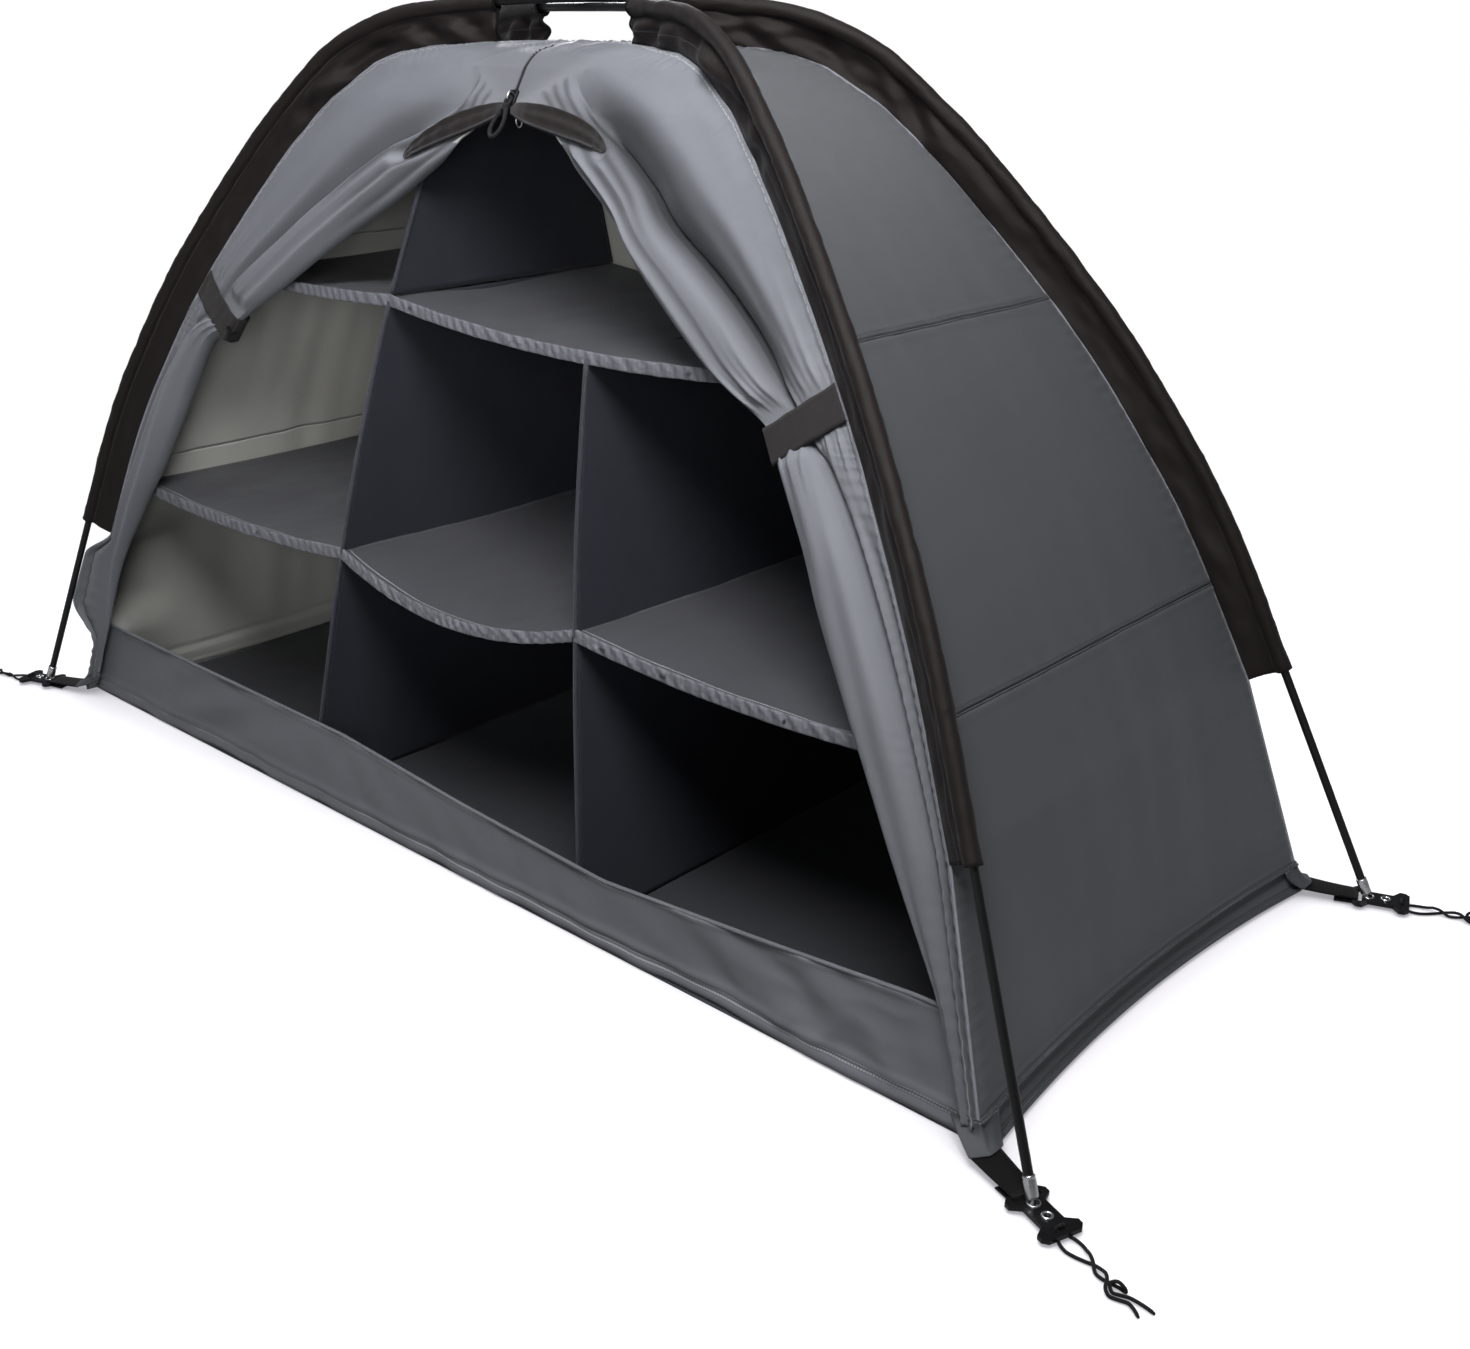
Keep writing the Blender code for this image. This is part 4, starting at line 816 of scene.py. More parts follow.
def door_profile(u, valley, depth, height, curl, bow):
    """Where a column of a door lies: its share from the seam to the edge, and its lift off the panel."""
    rest = 1 - valley
    rolled = (
        (0.00, 0.00, 0.0), (0.10, 0.28 * valley, 0.45 * bow), (0.20, 0.56 * valley, bow),
        (0.27, 0.76 * valley, 0.55 * bow - 0.10 * depth), (0.32, 0.90 * valley, -0.50 * depth),
        (0.350, 0.98 * valley, -1.10 * depth), (0.375, valley + 0.01 * rest, -1.50 * depth),
        (0.405, valley + 0.030 * rest, -0.95 * depth), (0.465, valley + 0.13 * rest, 0.35 * height),
        (0.53, valley + 0.29 * rest, 1.05 * height), (0.62, valley + 0.54 * rest, 1.05 * height),
        (0.71, valley + 0.78 * rest, 0.75 * height), (0.79, valley + 0.95 * rest, 0.10 * height),
        (0.86, 1.0, -0.60 * height), (0.93, valley + 0.94 * rest, -1.25 * height),
        (1.00, valley + 0.78 * rest, -1.45 * height),
    )
    k = 0
    while k < len(rolled) - 2 and u > rolled[k + 1][0]:
        k += 1
    at = k + (u - rolled[k][0]) / (rolled[k + 1][0] - rolled[k][0])
    _, share, lift = glide(rolled, at)
    return u + (share - u) * curl, lift


def pressed(x, z, lift):
    """The cloth held down under its tie, and swelling out again on either side of it."""
    outer = SEAM.at_z(TIE_Z).x
    length = math.hypot(TIE_RUN, TIE_DROP)
    along = -((x - outer) * TIE_RUN + (z - TIE_Z) * TIE_DROP) / length
    off = abs((z - TIE_Z) * TIE_RUN - (x - outer) * TIE_DROP) / length
    if along < -0.02 or along > 0.13:
        return lift
    hold = 1 - ease((off - 0.013) / 0.022)
    return lift - hold * (max(lift, 0.0) + 0.0004)


# The zip's tapes, in thousandths: x, z, half width, lift
TAPE_TOP = ((2.6, 845.5, 1.2, -1.2), (2.6, 830, 1.2, -1.2), (2.6, 810, 1.4, -1), (3.2, 792, 2.4, 0.6))
TAPES = {
    "left": thousandths(
        *TAPE_TOP, (6.2, 786, 4.8, 1.6), (16, 782.5, 7.4, 2.2), (35, 777, 10, 2.8), (60, 770, 11.6, 3.2),
        (90, 761, 11.6, 3), (118, 750.5, 9.8, 2.2), (138, 741, 7, 1.6), (149, 734.5, 4, 1),
        (152.5, 732, 0.6, 0.6),
    ),
    "right": thousandths(
        *TAPE_TOP, (6.6, 786, 4.8, 1.6), (17, 783.5, 7.2, 2.2), (35, 780.5, 9.6, 2.8), (65, 776.5, 11.4, 3),
        (95, 771.5, 11.4, 2.8), (120, 766, 9.8, 2.2), (138, 760, 7.2, 1.6), (149, 754.5, 4, 1),
        (152, 752.5, 0.6, 0.6),
    ),
}


def under_tape(lift, x, z, knots):
    """The door's cloth kept under the zip's tape that is sewn on it."""
    near = 1.0
    for (ax, az, ah, _), (bx, bz, bh, _) in zip(knots, knots[1:]):
        share = ((x - ax) * (bx - ax) + (z - az) * (bz - az)) / ((bx - ax) ** 2 + (bz - az) ** 2)
        share = min(max(share, 0.0), 1.0)
        off = math.hypot(x - ax - (bx - ax) * share, z - az - (bz - az) * share) - (ah + (bh - ah) * share)
        near = min(near, off)
    hold = 1 - ease(near / 0.014)
    return lift + hold * (0.0002 - lift)


def bulge(side, z):
    """The slack corner of the left side, blown out to the pole below the sleeve."""
    reach = 0.0642 - 0.1285 * z if side < 0 else 0.0
    blown = ease((z - 0.072) / 0.064) * (1 - ease((z - 0.202) / 0.034))
    return Vector((-0.94, -0.342, 0)) * (reach * blown)


def make_door(side, label):
    rows = DOORS[label]
    last = len(rows) - 1
    seed = 3.0 if side > 0 else 9.0

    def place_on(u, v):
        t = v * last
        ex, ez, sx, valley, depth, height, curl = glide(rows, t)
        seam = SEAM.at_x(sx)
        bow = 0.0015 + 0.0055 * hump(t - 11.5, 2.4)
        curl = min(max(curl, 0.0), 1.0)
        share, lift = door_profile(u, valley, max(depth, 0.0), max(height, 0.0), curl, bow)
        x = sx - 0.0008 + (ex - sx + 0.0008) * share
        z = seam.z + (ez - seam.z) * share
        across = (share - valley) / max(1 - valley, 0.05)
        roll = ease(across)
        open_share = ease((14.5 - t) / 2.5)
        folds = 1 - abs(math.sin(math.pi * (3.4 * across + 0.13 * t + seed)))
        lift += 0.0062 * (folds - 0.35) * hump(t - 11.8, 2.2) * roll * ease((1.04 - across) * 5)
        lift += 0.0018 * wave(2.2 * across + 0.15 * t + seed) * open_share * roll
        panel = min(share / max(valley, 0.05), 1.0)
        below = ease((7.0 - t) / 1.5)
        lift -= 0.0065 * hump(panel - 0.42, 0.16) * below * (1 - 0.5 * ease((2.2 - t) / 2))
        lift += 0.0030 * hump(panel - 0.72, 0.16) * below
        lift -= 0.0040 * hump(panel - 0.66, 0.10) * hump(t - 9.4, 1.0)
        lift += 0.0044 * (0.5 - abs(math.sin(math.pi * 6.5 * share + seed))) * hump(t - TIE_ROW, 0.9)
        lift += 0.0022 * (0.5 - abs(math.sin(math.pi * 13 * share + 2 * seed))) * hump(t - TIE_ROW, 0.7)
        lift += 0.0030 * rough(x * 5, z * 3.5, seed) * (0.35 + 0.65 * open_share) * ease(share * 6)
        lift += 0.0012 * rough(x * 16, z * 9, seed + 5) * ease(share * 10)
        gap = (sx - x) + abs(seam.z - z)
        pucker = hump(gap, 0.030) * ease(gap / 0.004)
        lift += 0.0011 * math.sin(2 * math.pi * t * 5.5 + 1.7 * math.sin(t * 2.3)) * pucker
        lift += 0.0010 * hump(gap - 0.004, 0.0022)
        lift = under_tape(pressed(x, z, lift), x, z, TAPES[label])
        place = front_point(side * x, z, lift)
        return place + bulge(side, place.z) * ease(1 - share)

    made = make_sheet(
        f"door_sheet_{label}", (110, 280), place_on, (0.30, 1.10), [door_cloths[label], lining_cloth],
        [f"door_{label}"], 0.0012, flip=side > 0,
    )


def make_tape(side, label):
    knots = TAPES[label]
    last = len(knots) - 1

    def place_on(u, v):
        t = v * last
        x, z, half, lift = glide(knots, t)
        x2, z2 = glide(knots, t + 0.05)[:2]
        x1, z1 = glide(knots, t - 0.05)[:2]
        run = math.hypot(x2 - x1, z2 - z1)
        across = (u - 0.5) * 2
        loose = ease((t - 4.5) / 2) * ease((last - t) / 2.5)
        lift += (0.0005 * math.cos(2 * math.pi * across) + 0.0004 * math.sin(t * 7 + across)) * loose
        reach = half * across / run
        return front_point(side * (x - (z2 - z1) * reach), z + (x2 - x1) * reach, lift)

    made = make_sheet(
        f"tape_{label}", (20, 160), place_on, (0.020, 0.30), [tape_cloth],
        [f"zip_tape_{label}"], 0.0009, centred=True, flip=side < 0, turned=True,
    )


def add_block(mesh, middle, axes, sizes, bevel):
    """A small block in a turned frame, with its edges rounded."""
    made = bmesh.ops.create_cube(mesh, size=1.0)["verts"]
    for vertex in made:
        co = vertex.co.copy()
        vertex.co = middle + axes[0] * co.x * sizes[0] + axes[1] * co.y * sizes[1] + axes[2] * co.z * sizes[2]
    if bevel:
        edges = list(dict.fromkeys(e for v in made for e in v.link_edges))
        bmesh.ops.bevel(
            mesh, geom=edges, offset=bevel, offset_type="OFFSET", affect="EDGES", segments=2, profile=0.5,
            material=-1,
        )


def block_mesh():
    mesh = bmesh.new()
    mesh.loops.layers.uv.new("sheet")
    return mesh


def front_axes(z):
    """Up and out on the front panels at a height."""
    level, up = SEAM.normal(z, 1)
    return Vector((0, up, level)), Vector((0, -level, up))


def make_zip_teeth():
    """The coil: closed above the slider, and along each tape below it."""
    mesh = block_mesh()
    z = 0.8035
    row = 0
    while z < 0.8440:
        place = front_point(0.0016 * (1 if row % 2 else -1), z, 0.0002)
        add_block(mesh, place, (ACROSS, *front_axes(z)), (0.0019, 0.00120, 0.0016), 0.0003)
        z += 0.0010
        row += 1
    for side, label in SIDES:
        for k in range(84):
            t = 4.3 + k * 0.07
            x, z, half, lift = glide(TAPES[label], t)
            x2, z2 = glide(TAPES[label], t + 0.05)[:2]
            run = math.hypot(x2 - x, z2 - z)
            dx, dz = (x2 - x) / run, (z2 - z) / run
            out = front_axes(z)[1]
            along = Vector((side * dx, 0, dz)).normalized()
            axes = (along.cross(out).normalized(), along, out)
            place = front_point(side * (x + dz * half * 0.86), z - dx * half * 0.86, lift + 0.0026)
            add_block(mesh, place, axes, (0.0026, 0.0010, 0.0014), 0.0)
    finish_piece("zip_coil", mesh, [zip_plastic])


SLIDER_Z = 0.7948


def make_slider():
    middle = front_point(0.0, SLIDER_Z, 0.0)
    up, out = front_axes(SLIDER_Z)
    front, back = 0.0023, -0.0033
    blocks = [
        (0.0, 0.0, front, 0.0115, 0.0165, 0.0018, 0.0006), (0.0, 0.0, back, 0.0115, 0.0165, 0.0016, 0.0005),
        (0.0, -0.0060, -0.0006, 0.0009, 0.0046, 0.0052, 0.0002),
        (-0.0052, 0.0, front - 0.0012, 0.0009, 0.0150, 0.0016, 0.0003),
        (0.0052, 0.0, front - 0.0012, 0.0009, 0.0150, 0.0016, 0.0003),
    ]
    mesh = block_mesh()
    for x, rise, lift, *sizes, bevel in blocks:
        add_block(mesh, middle + ACROSS * x + up * rise + out * lift, (ACROSS, up, out), sizes, bevel)
    finish_piece("slider_body", mesh, [dark_metal], ["zip_slider"], "slider")
    arch = thousandths((-4.3, 0), (-4.3, 3.6), (-3, 5.6), (0, 6.2), (3, 5.6), (4.3, 3.6), (4.3, 0))
    for label, base, way in (("front", front, 1), ("back", back, -1)):
        points = [middle + out * (base + way * lift) + up * rise for rise, lift in arch]
        line = smooth_line(points, 6)
        make_tube(f"slider_bail_{label}", line, 0.0009, 12, plated_metal, body="slider")


def loop_line(pivot, hanging, half):
    """A closed loop hanging from its pivot, from one half of it in thousandths: across and down."""
    half = thousandths(*half)
    both = half + [(-across, down) for across, down in reversed(half[:-1])]
    return smooth_line([pivot + ACROSS * across + hanging * down for across, down in both], 5)[:-1]


def make_pulls():
    """The cord loop on the slider with its knot, and the small wire loop inside."""
    up, out = front_axes(SLIDER_Z)
    pivot = Vector((0, -0.108046, 0.796261))
    hanging = (out * 0.09 - up).normalized()
    half = (
        (0, -0.6), (2, -0.3), (3.3, 1.5), (3.4, 5), (2.2, 10), (3.6, 15.5), (6.6, 23), (7.7, 31), (6.8, 38.5),
        (3.4, 43.6), (0, 44.8),
    )
    line = loop_line(pivot, hanging, half)
    mesh = tube_mesh(line, lambda at: 0.0012 + 0.0008 * ease(min(at, 1 - at) / 0.09), 12, closed=True)
    knot_line = []
    for k in range(46):
        turn = k / 45 * 2 * math.pi * 2.6
        radial = ACROSS * math.cos(turn) * 0.0026 + hanging.cross(ACROSS) * math.sin(turn) * 0.0020
        knot_line.append(pivot + radial + hanging * (0.0125 + (k / 45 - 0.5) * 0.0058))
    knot = tube_mesh(knot_line, 0.0018, 10)
    data = bpy.data.meshes.new("knot")
    knot.to_mesh(data)
    knot.free()
    mesh.from_mesh(data)
    bpy.data.meshes.remove(data)
    finish_piece("pull_cord", mesh, [pull_braid], ["zip_pull_cord"], "outer_pull")
    half = ((0, -0.4), (1.4, 0), (2, 2), (3.2, 7), (4.4, 13), (4.2, 18), (2.6, 21.4), (0, 22))
    line = loop_line(Vector((0, -0.097546, 0.789274)), -UPWARD, half)
    make_tube(
        "pull_wire", line, 0.0008, 10, plated_metal, ["zip_pull_inner"], "inner_pull",
        closed=True,
    )


# Walls
def base_bow(z, share):
    return 0.026 * (1 - share * share) * max(0.0, 1 - z / 0.235) ** 2


def drawn_in(length):
    """How far a wall's foot is drawn down to the floor sheet."""
    return 0.0016 * (1 - ease(length / 0.012))


def puckered(length, edge, height, width, beat):
    """Small puckers along a seam, and the ridge of its stitching."""
    pucker = math.sin(length * 430 + 2 * math.sin(length * beat)) * hump(edge, width) * ease(edge / 0.004)
    return height * pucker + 0.0009 * hump(edge - 0.0045, 0.0022)


# The side walls: low and high edge, flat size and area
SPANS = {
    "lower": (BASE_Z, SEAM_LOW_Z - 0.0002, (0.596, 0.36), 0.187),
    "middle": (SEAM_LOW_Z + 0.0002, SEAM_HIGH_Z - 0.0002, (0.48, 0.32), 0.130),
    "upper": (SEAM_HIGH_Z + 0.0002, None, (0.34, 0.74), 0.090),
}


def make_side_wall(side, label, span):
    low, high, flat, area = SPANS[span]
    start = SEAM.length_at_z(low)
    end = SEAM.length_at_z(high) if high else SEAM.total - SEAM_END
    seed = 20.0 + side
    upright = 0.0040 if side < 0 else 0.0014
    ridge = 0.0013 if side > 0 else 0.0005

    def place_on(u, v):
        length = start + (end - start) * v
        place = SEAM.at(length)
        level, up = SEAM.normal(place.z, 0)
        share = 2 * u - 1
        y = share * place.y
        x = place.x - base_bow(place.z, share)
        inside = 1 - share ** 4
        lift = inside * ruffled(
            y, place.z, (0.0045, 3.2, 3.0, seed), (0.0016, 10, 8, seed + 3), (upright, 24, 3.4, seed + 6),
        )
        lift *= ease(length / 0.07) if span == "lower" else 1.0
        lift += puckered(length, (1 - abs(share)) * place.y, 0.0010, 0.020, 37)
        from_low = (length - start) if span != "lower" else 1.0
        to_high = (end - length) if span != "upper" else 1.0
        for gap in (from_low, to_high):
            lift += ridge * hump(gap - 0.003, 0.0026) * ease(gap / 0.0012)
            lift += 0.0012 * rough(y * 45, seed, gap * 8) * hump(gap, 0.016) * ease(gap / 0.004) * inside
        if span == "lower":
            lift += 0.0026 * hump(length - 0.030, 0.0032) - 0.0012 * hump(length - 0.020, 0.004)
            lift += 0.0022 * hump(length - 0.004, 0.0035)
        made = Vector((side * (x + level * lift), y, place.z + up * lift - drawn_in(length)))
        return made + bulge(side, made.z) * ease(1 - (place.y + y) / 0.14)

    made = make_sheet(
        f"wall_{label}_{span}", (84, max(24, int((end - start) / 0.0045))), place_on, (0.50, end - start),
        [wall_cloths[span], low_lining_painted_shade_cloth if span == "lower" else lining_cloth],
        [f"side_wall_{label}_{span}"], 0.0014, flip=side < 0,
    )
    if span != "upper":
        joint = [place_on(k / 140, 1.0) for k in range(141)]
        make_tube(f"wall_{label}_{span}_seam", joint, 0.0010, 8, dark_piping_cloth)


def make_seam_piping():
    """A thin folded edge along each of the four seams, where the sleeve's fin meets the cloth."""
    for name, (sx, sy) in CORNERS.items():
        line = []
        for k in range(261):
            place = SEAM.at((SEAM.total - 0.060) * k / 260)
            made = Vector((sx * place.x, sy * place.y, place.z))
            line.append(made + bulge(sx, made.z) if sy < 0 else made)
        make_tube(f"seam_piping_{name}", line, 0.0013, 8, piping_cloth)


def make_base_piping():
    """Two dark pipings along the foot of each side: one on the ground edge, one above the hem."""
    for side, label in SIDES:
        for row, (z, radius) in enumerate(((0.0045, 0.0024), (0.0305, 0.0017))):
            place = SEAM.at_z(z)
            level, up = SEAM.normal(z, 0)
            line = []
            for k in range(81):
                share = -1 + 2 * k / 80
                x = place.x - base_bow(z, share) + level * 0.0034
                line.append(Vector((side * x, share * place.y, z + up * 0.0034)))
            make_tube(f"base_piping_{label}_{row + 1}", line, radius, 10, dark_piping_cloth)


def make_corner_patch(anchor):
    """The cloth tip at a corner, folded down over the root of its webbing."""
    sx, sy = CORNERS[anchor.label]

    def place_on(u, v):
        across = 2 * u - 1
        along_wall = Vector((-sx * 0.030, 0, 0)) if across * sx * sy > 0 else Vector((0, -sy * 0.026, 0))
        z = 0.034 - 0.021 * v
        seam = SEAM.at_z(z)
        hugging = Vector((sx * seam.x, sy * seam.y, z)) + along_wall * abs(across) + anchor.out * 0.0024
        reach = 0.0105 - 0.0065 * abs(across) ** 1.2
        tip = anchor.corner + anchor.out * reach + anchor.side * across * 0.0170
        tip.z = 0.0126 - 0.0010 * abs(across)
        made = hugging.lerp(tip, ease((v - 0.35) / 0.65))
        made.z += 0.0008 * math.sin(across * 9 + v * 5) * (1 - v)
        return made

    made = make_sheet(
        f"corner_patch_{anchor.label}", (30, 26), place_on, (0.05, 0.045), [patch_cloth], [],
        0.0012, centred=True, turned=True,
    )


def make_rear_wall():
    start, end = SEAM.length_at_z(BASE_Z), SEAM.total - SEAM_END

    def place_on(u, v):
        length = start + (end - start) * v
        place = SEAM.at(length)
        level, up = SEAM.normal(place.z, 1)
        share = 2 * u - 1
        x = share * place.x
        lift = (1 - share ** 4) * ruffled(
            x, place.z, (0.0050, 2.6, 2.8, 31.0), (0.0026, 9, 6, 35.0), (0.0012, 26, 7, 38.0),
        )
        lift += puckered(length, (1 - abs(share)) * place.x, 0.0011, 0.022, 29)
        lift += 0.0014 * hump(length - 0.006, 0.0035)
        return Vector((x, place.y + level * lift, place.z + up * lift - drawn_in(length)))

    made = make_sheet(
        "rear_sheet", (200, 210), place_on, (1.40, end - start), [wall_cloth, lining_cloth],
        ["rear_wall"], 0.0014, flip=True,
    )


def make_floor_sheet():
    def place_on(u, v):
        share_x, share_y = 2 * u - 1, 2 * v - 1
        front = -(CORNER_Y - 0.014)
        y = front + (CORNER_Y - front) * v
        half = CORNER_X - 0.026 * (1 - (y / CORNER_Y) ** 2) + 0.0014
        inside = (1 - share_x ** 6) * (1 - share_y ** 6)
        lift = (0.0012 + 0.0012 * rough(share_x * 9, share_y * 4, 40.0)) * inside
        return Vector((share_x * half, y, 0.0012 + lift))

    made = make_sheet(
        "ground_sheet", (120, 50), place_on, (1.46, 0.58), [floor_cloth], ["floor_sheet"],
        0.0011,
    )


def lip_front(z):
    """Depth of the low front wall's outer face at a height."""
    return 0.014 - SEAM.at_z(z).y


def make_lip():
    def place_on(u, v):
        share = 2 * u - 1
        z = BASE_Z + (lookup(LIP_TOP, share * CORNER_X) - BASE_Z) * v
        x = share * (SEAM.at_z(max(z, 0.0043)).x - 0.0026 - base_bow(z, 0.97))
        inside = 1 - abs(share) ** 12
        lift = 0.0042 * rough(x * 6, z * 9, 50.0) + 0.0024 * rough(x * 22 + z * 14, z * 20, 52.0)
        lift += 0.0022 * math.sin((x + z * 2.2) * 46) * hump(x - 0.50, 0.13) * ease(v * 3)
        lift += 0.0015 * math.sin((x - z * 2.6) * 40) * hump(x + 0.45, 0.15) * ease(v * 3)
        creased = ease((x - 0.30) / 0.30) * ease(v * 4)
        lift += 0.0030 * (0.4 - abs(rough(x * 17 + z * 9, z * 26 - x * 5, 57.0)) * 2) * creased
        lift = lift * inside + 0.0014 * hump(v - 0.965, 0.03)
        lift += 0.0026 * hump(z - 0.008, 0.004) + 0.0022 * hump(z - 0.021, 0.004)
        lift -= 0.0010 * hump(z - 0.0145, 0.003)
        return Vector((x, lip_front(z) - lift, z))

    made = make_sheet(
        "lip_sheet", (260, 30), place_on, (1.46, 0.095), [lip_cloth, lining_cloth],
        ["front_wall_low"], 0.0013,
    )
    line = []
    for k in range(141):
        share = -1 + 2 * k / 140
        top = lookup(LIP_TOP, share * CORNER_X)
        line.append(Vector((share * (SEAM.at_z(top).x - 0.0050), lip_front(top) - 0.0004, top)))
    make_tube("lip_hem", line, 0.0022, 10, hem_cloth)


# Shelves and dividers
SAG = {"left": 0.010, "centre": 0.033, "right": 0.011}
GATHERS = {"left": 0.0006, "centre": 0.0010, "right": 0.0005, "top": 0.0004}
HEM_HALF = 0.0064


def divider_x(z):
    return 0.238 - 0.135 * z


def wall_at(z, axis):
    return SEAM.at_z(z)[axis] - 0.0024


def front_edge(z):
    return -(SEAM.at_z(z).y - SETBACK)


def hung(left, right, sag, z):
    """The height of a shelf that sags between two sides."""
    def height_of(x):
        share = (x - left) / (right - left)
        return z - sag * 4 * share * (1 - share)
    return height_of


def top_shelf_z(x):
    pivot, wall = -divider_x(TOP_SHELF_Z), wall_at(TOP_SHELF_Z, 0)
    spans = (-wall, pivot, 0.004) if x < pivot else (pivot, wall, 0.020)
    return hung(*spans, TOP_SHELF_Z)(x)


def make_shelf(name, label, left, right, height_of):
    def place_on(u, v):
        x = left + (right - left) * u
        z = height_of(x)
        front = front_edge(z)
        y = front + (wall_at(z, 1) - 0.002 - front) * v
        inside = (1 - abs(2 * u - 1) ** 8) * (1 - abs(2 * v - 1) ** 8)
        lift = ruffled(x, y, (0.0030, 9, 9, 60.0 + left), (0.0012, 30, 14, 66.0 + left))
        lift += 0.0018 * math.sin(x * 55 + y * 20) * hump(v - 0.1, 0.3)
        return Vector((x, y, z - 0.0008 + lift * inside - 0.0035 * math.sin(math.pi * v)))

    columns = max(40, int((right - left) / 0.007))
    made = make_sheet(
        f"{name}_sheet", (columns, 54), place_on, (right - left, 0.50), [shelf_cloth], [name],
        0.0012,
    )
    drawn = GATHERS[label]

    def hem_place(u, v):
        x = left + (right - left) * v
        z = height_of(x)
        run = x + 0.004 * math.sin(x * 37 + left) + 0.0015 * math.sin(x * 141)
        turn = 2 * math.pi * u
        high, out = math.sin(turn), math.cos(turn)
        rise = HEM_HALF * math.copysign(abs(high) ** 0.6, high)
        plump = 0.0020 + drawn * wave(run / 0.0160 + rise / 0.0130) + 0.0005 * rough(x * 60, left, turn)
        rise *= 1 + 0.10 * rough(x * 45, left, 2.0) + drawn * 60 * wave(run / 0.0160)
        front = front_edge(z) + 0.0005 - 0.0022 * (1 - rise / HEM_HALF) * 0.5
        return Vector((x, front - plump * math.copysign(abs(out) ** 0.5, out), z - 0.0040 + rise))

    mesh = grid_mesh(16, int((right - left) / 0.0012), hem_place, (0.028, right - left), joined=True)
    hemmed = finish_piece(f"{name}_piping", close_ends(mesh, 18), [shelf_hem_cloth])


def make_shelves():
    wall = wall_at(MID_SHELF_Z, 0)
    inner = divider_x(MID_SHELF_Z)
    places = {"left": (-wall, -inner - 0.0008), "centre": (-inner + 0.0008, inner - 0.0008),
              "right": (inner + 0.0008, wall)}
    for label, (left, right) in places.items():
        make_shelf(
            f"shelf_middle_{label}", label, left, right, hung(left, right, SAG[label], MID_SHELF_Z),
        )
    top_wall = wall_at(TOP_SHELF_Z, 0)
    make_shelf("shelf_top", "top", -top_wall, top_wall, top_shelf_z)


def make_divider(name, side, low, high):
    def place_on(u, v):
        z = low + (high - low) * v
        front = front_edge(z)
        y = front + (wall_at(z, 1) - 0.002 - front) * u
        inside = (1 - abs(2 * u - 1) ** 8) * (1 - abs(2 * v - 1) ** 8)
        lift = ruffled(y, z, (0.0050, 7, 5, 80.0 + side + low), (0.0020, 22, 9, 84.0 + side)) * inside
        return Vector((side * divider_x(z) + lift, y, z))

    rows = max(24, int((high - low) / 0.007))
    made = make_sheet(
        f"{name}_sheet", (60, rows), place_on, (0.50, high - low), [divider_cloth], [name],
        0.0013, centred=True,
    )
    hem = []
    for k in range(41):
        z = low + 0.003 + (high - low - 0.006) * k / 40
        hem.append(Vector((side * divider_x(z), front_edge(z) + 0.0005, z)))
    hemmed = make_tube(f"{name}_binding", hem, 0.0026, 10, dark_hem_cloth)
    depth = 2 * (SEAM.at_z((low + high) / 2).y - SETBACK / 2)


def make_dividers():
    right_top = top_shelf_z(divider_x(TOP_SHELF_Z)) - CLOTH - CLEAR * 2
    make_divider("divider_left", -1, CLOTH + CLEAR, TOP_SHELF_Z - CLOTH - CLEAR)
    make_divider("divider_right", 1, CLOTH + CLEAR, right_top)
    make_divider("divider_left_upper", -1, TOP_SHELF_Z + CLEAR, PEAK_Z - CLOTH * 5)


# Ties
def tie_line(share, edge, lift, side):
    z = TIE_Z - TIE_DROP * share + edge * TIE_WIDE
    place = SEAM.at_z(z)
    return Vector((side * (place.x - CLOTH - TIE_RUN * share), -(place.y + lift), z))


def make_tie(side, label):
    """The band over the door, its tail on the left, and the loop that goes round behind."""
    def band_place(u, v):
        swell = 0.0045 * math.sin(math.pi * min(1.0, v * 1.02)) + 0.0010 * rough(v * 9, u, 3.0)
        edge = (u - 0.5) * (0.98 + 0.02 * math.cos(v * 20))
        past = max(0.0, v - 0.955) / 0.045
        return tie_line(v * 1.075, edge, 0.0014 + swell * 0.6 - 0.0062 * past ** 1.5, side)

    made = make_sheet(
        f"tie_strap_{label}", (10, 60), band_place, (0.028, 0.112), [tie_webbing],
        [f"tie_band_{label}"], 0.0013, centred=True, flip=side > 0, turned=True, body=f"{label}_tie",
    )
    if side < 0:
        tail = [tie_line(1.04 + 0.06 * k, 0.10, 0.0062 + 0.0004 * k, side) for k in range(3)]
        tail += [tail[-1] + Vector((0.0060, -0.0008, 0.0010)), tail[-1] + Vector((0.0120, -0.0006, 0.0030))]
        make_tube(
            "tie_tail_left", smooth_line(tail, 4), lambda at: 0.0028 - 0.0016 * at ** 2, 12, binding_cloth,
            body="left_tie",
        )
    behind = 0.0122 + CLOTH + 0.0008 + 0.0007
    turn = (
        (0.1010, 0.0016), (0.1045, 0.0022), (0.1066, 0.0042), (0.1072, 0.0075), (0.1072, behind - 0.005),
        (0.1064, behind - 0.0014), (0.1045, behind), (0.090, behind + 0.0004), (0.060, behind),
        (0.030, behind), (0.010, behind),
    )

    def loop_place(u, v):
        run, inset = glide(turn, v * (len(turn) - 1))
        return tie_line(run / TIE_RUN, u - 0.5, -inset, side)

    made = make_sheet(
        f"tie_back_{label}", (8, 70), loop_place, (0.028, 0.125), [tie_webbing],
        [f"tie_loop_{label}"], 0.0013, centred=True, flip=side > 0, turned=True,
    )


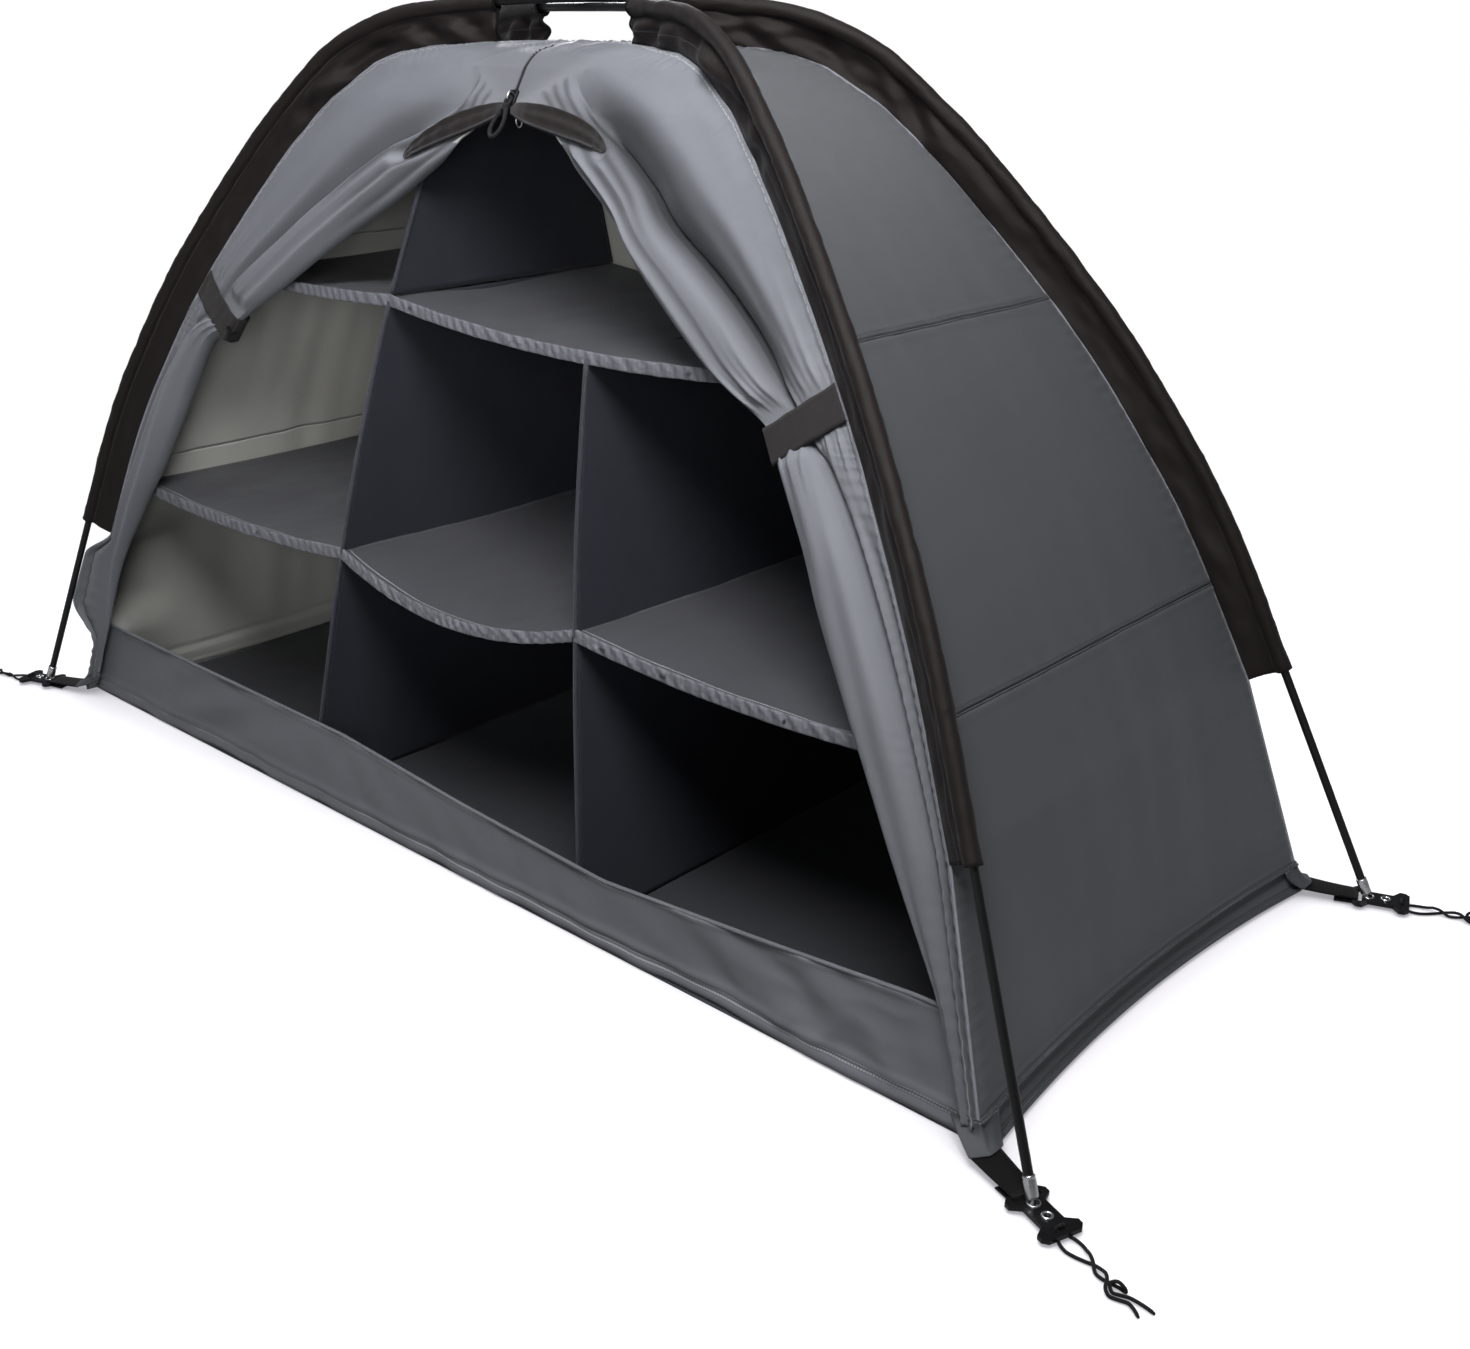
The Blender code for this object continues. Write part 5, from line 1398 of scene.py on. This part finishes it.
# Anchors
def make_anchor(anchor):
    """The strap through its plate, with the plate's eyelet, rivet and plastic."""
    near = (anchor.middle - anchor.corner).dot(anchor.out) - PLATE_LENGTH / 2
    far = near + 0.0042
    slot = far + 0.0006 + CLEAR
    over = PLATE_BOTTOM + PLATE_THICK + CLEAR + 0.0006
    under = PLATE_BOTTOM - CLEAR - 0.0006
    path = (
        (0.0026, 0.0100), (0.0013 + near * 0.5, 0.0086), (near - 0.0024, over), (far - 0.0008, over),
        (slot, over - 0.0008), (slot, under + 0.0008), (far - 0.0008, under), (near, under),
        (near - 0.018, under),
    )

    def place_on(u, v):
        run, rise = glide(path, v * (len(path) - 1))
        wide = 0.030 - 0.006 * min(1.0, max(run, 0.0) / near)
        crown = 0.0006 * (1 - (2 * u - 1) ** 2) if v < 0.35 else 0.0
        return anchor.corner + anchor.out * run + anchor.side * (u - 0.5) * wide + UPWARD * (rise + crown)

    made = make_sheet(
        f"strap_{anchor.label}", (10, 90), place_on, (0.027, 0.09), [strap_webbing],
        [f"corner_strap_{anchor.label}"], 0.0011, centred=True, turned=True,
    )
    top = PLATE_BOTTOM + PLATE_THICK
    hole = PIN_HOLE_BACK - PLATE_LENGTH / 2
    rounds = (("eyelet", hole, 0.0001, 0.0052, 0.0009), ("rivet", 0.0048, 0.0004, 0.0040, 0.0013))
    for name, x, rise, radius, thick in rounds:
        line = ring(lambda a, b: anchor.at(x + a, b, top + rise), radius)
        make_tube(f"{name}_{anchor.label}", line, thick, 10, plated_metal, closed=True)
    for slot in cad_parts[f"anchor_plate_{anchor.label}"].material_slots:
        slot.material = black_plastic


# Floor, backdrop and light
def set_stage():
    mesh = bmesh.new()
    bmesh.ops.create_circle(mesh, cap_ends=True, radius=9.0, segments=64)
    data = bpy.data.meshes.new("studio_floor")
    mesh.to_mesh(data)
    mesh.free()
    floor = bpy.data.objects.new("studio_floor", data)
    bpy.context.scene.collection.objects.link(floor)
    floor.location.z = -0.0006
    finish = Finish("studio_floor")

    def glowing(colour, strength):
        return finish.node("ShaderNodeEmission", {"Color": (*colour, 1.0), "Strength": strength})

    def mixed(*inputs):
        return finish.node("ShaderNodeMixShader", inputs)

    # What the camera sees: lit near the feet, plain white further out, and darker where little sky is open
    finish.surface(Base_Color=(0.62, 0.61, 0.64, 1.0), Roughness=0.9, Specular_IOR_Level=0.0)
    lit = Link(finish, finish.shader.outputs[0])
    lit = finish.node("ShaderNodeAddShader", (lit, glowing((1.0, 0.99, 1.0), 0.62)))
    far = finish.node("ShaderNodeVectorMath", [finish.place()], 1, operation="LENGTH")
    seen = mixed(far.rise(1.1, 1.7), lit, glowing((1.0, 1.0, 1.0), 1.0))
    open_sky = finish.node("ShaderNodeAmbientOcclusion", {"Distance": 0.11}, "AO", samples=12)
    seen = mixed((1 - open_sky) * 0.92, seen, glowing((0.90, 0.88, 1.0), 0.28))
    # What the object sees: a dim floor by scattered light, a brighter one in its gloss
    dim = finish.node("ShaderNodeBsdfDiffuse", {"Color": (0.14, 0.14, 0.145, 1.0)})
    shiny = finish.node("ShaderNodeLightPath", output="Is Glossy Ray")
    unseen = mixed(shiny, dim, glowing((1.0, 1.0, 1.0), 0.42))
    plain = mixed(finish.node("ShaderNodeLightPath", output="Is Camera Ray"), unseen, seen)
    finish.tree.links.new(plain.output, finish.tree.nodes["Material Output"].inputs["Surface"])
    data.materials.append(finish.material)
    world = bpy.data.worlds.new("studio")
    bpy.context.scene.world = world
    world.use_nodes = True
    nodes, links = world.node_tree.nodes, world.node_tree.links
    back, bright = nodes["Background"], nodes.new("ShaderNodeBackground")
    for sky, colour, strength in ((back, (0.93, 0.96, 1.0), 0.15), (bright, (1.0, 1.0, 1.0), 1.0)):
        sky.inputs["Color"].default_value = (*colour, 1.0)
        sky.inputs["Strength"].default_value = strength
    mix = nodes.new("ShaderNodeMixShader")
    ray = nodes.new("ShaderNodeLightPath").outputs["Is Camera Ray"]
    for k, output in enumerate((ray, back.outputs[0], bright.outputs[0])):
        links.new(output, mix.inputs[k])
    links.new(mix.outputs[0], nodes["World Output"].inputs["Surface"])
    bpy.context.scene.view_settings.view_transform = "Standard"


def hang_lamp(name, place, aim, size, power, colour, cone=None):
    """A round soft lamp aimed at a place, or a spot lamp where a cone is given."""
    data = bpy.data.lights.new(name, "SPOT" if cone else "AREA")
    if cone:
        data.spot_size = math.radians(cone)
        data.spot_blend = 0.6
        data.shadow_soft_size = size
    else:
        data.shape = "DISK"
        data.size = size
    data.energy = power
    data.color = colour
    lamp = bpy.data.objects.new(name, data)
    bpy.context.scene.collection.objects.link(lamp)
    lamp.location = place
    lamp.rotation_euler = (Vector(aim) - Vector(place)).to_track_quat("-Z", "Y").to_euler()


make_poles()
for label, pole in POLES.items():
    for end, name in enumerate(POLE_ENDS[label]):
        make_sleeve(label, pole, end, name)
for maker in (make_door, make_tape):
    for side, label in SIDES:
        maker(side, label)
make_zip_teeth()
make_slider()
make_pulls()
for side, label in SIDES:
    for span in SPANS:
        make_side_wall(side, label, span)
make_seam_piping()
make_base_piping()
make_rear_wall()
make_floor_sheet()
make_lip()
make_shelves()
make_dividers()
for side, label in SIDES:
    make_tie(side, label)
for maker in (make_anchor, make_corner_patch):
    for anchor in ANCHORS:
        maker(anchor)
set_stage()
hang_lamp("key", (0.95, -0.95, 1.84), (0.15, -0.10, 0.55), 0.8, 48.0, (1.0, 0.99, 0.98))
hang_lamp("fill", (0.7, -3.0, 1.0), (-0.3, 0.0, 0.3), 1.6, 4.5, (0.97, 0.98, 1.0))
hang_lamp("top", (-0.3, -0.25, 2.6), (-0.1, 0.0, 0.5), 1.6, 24.0, (0.94, 0.97, 1.0))
hang_lamp("back", (-2.2, 1.9, 1.5), (0.0, 0.1, 0.35), 1.0, 34.0, (0.96, 0.98, 1.0))
hang_lamp("inside", (0.70, -1.00, 0.70), (-0.46, 0.10, 0.42), 0.3, 38.0, (1.0, 0.985, 0.96), 33)
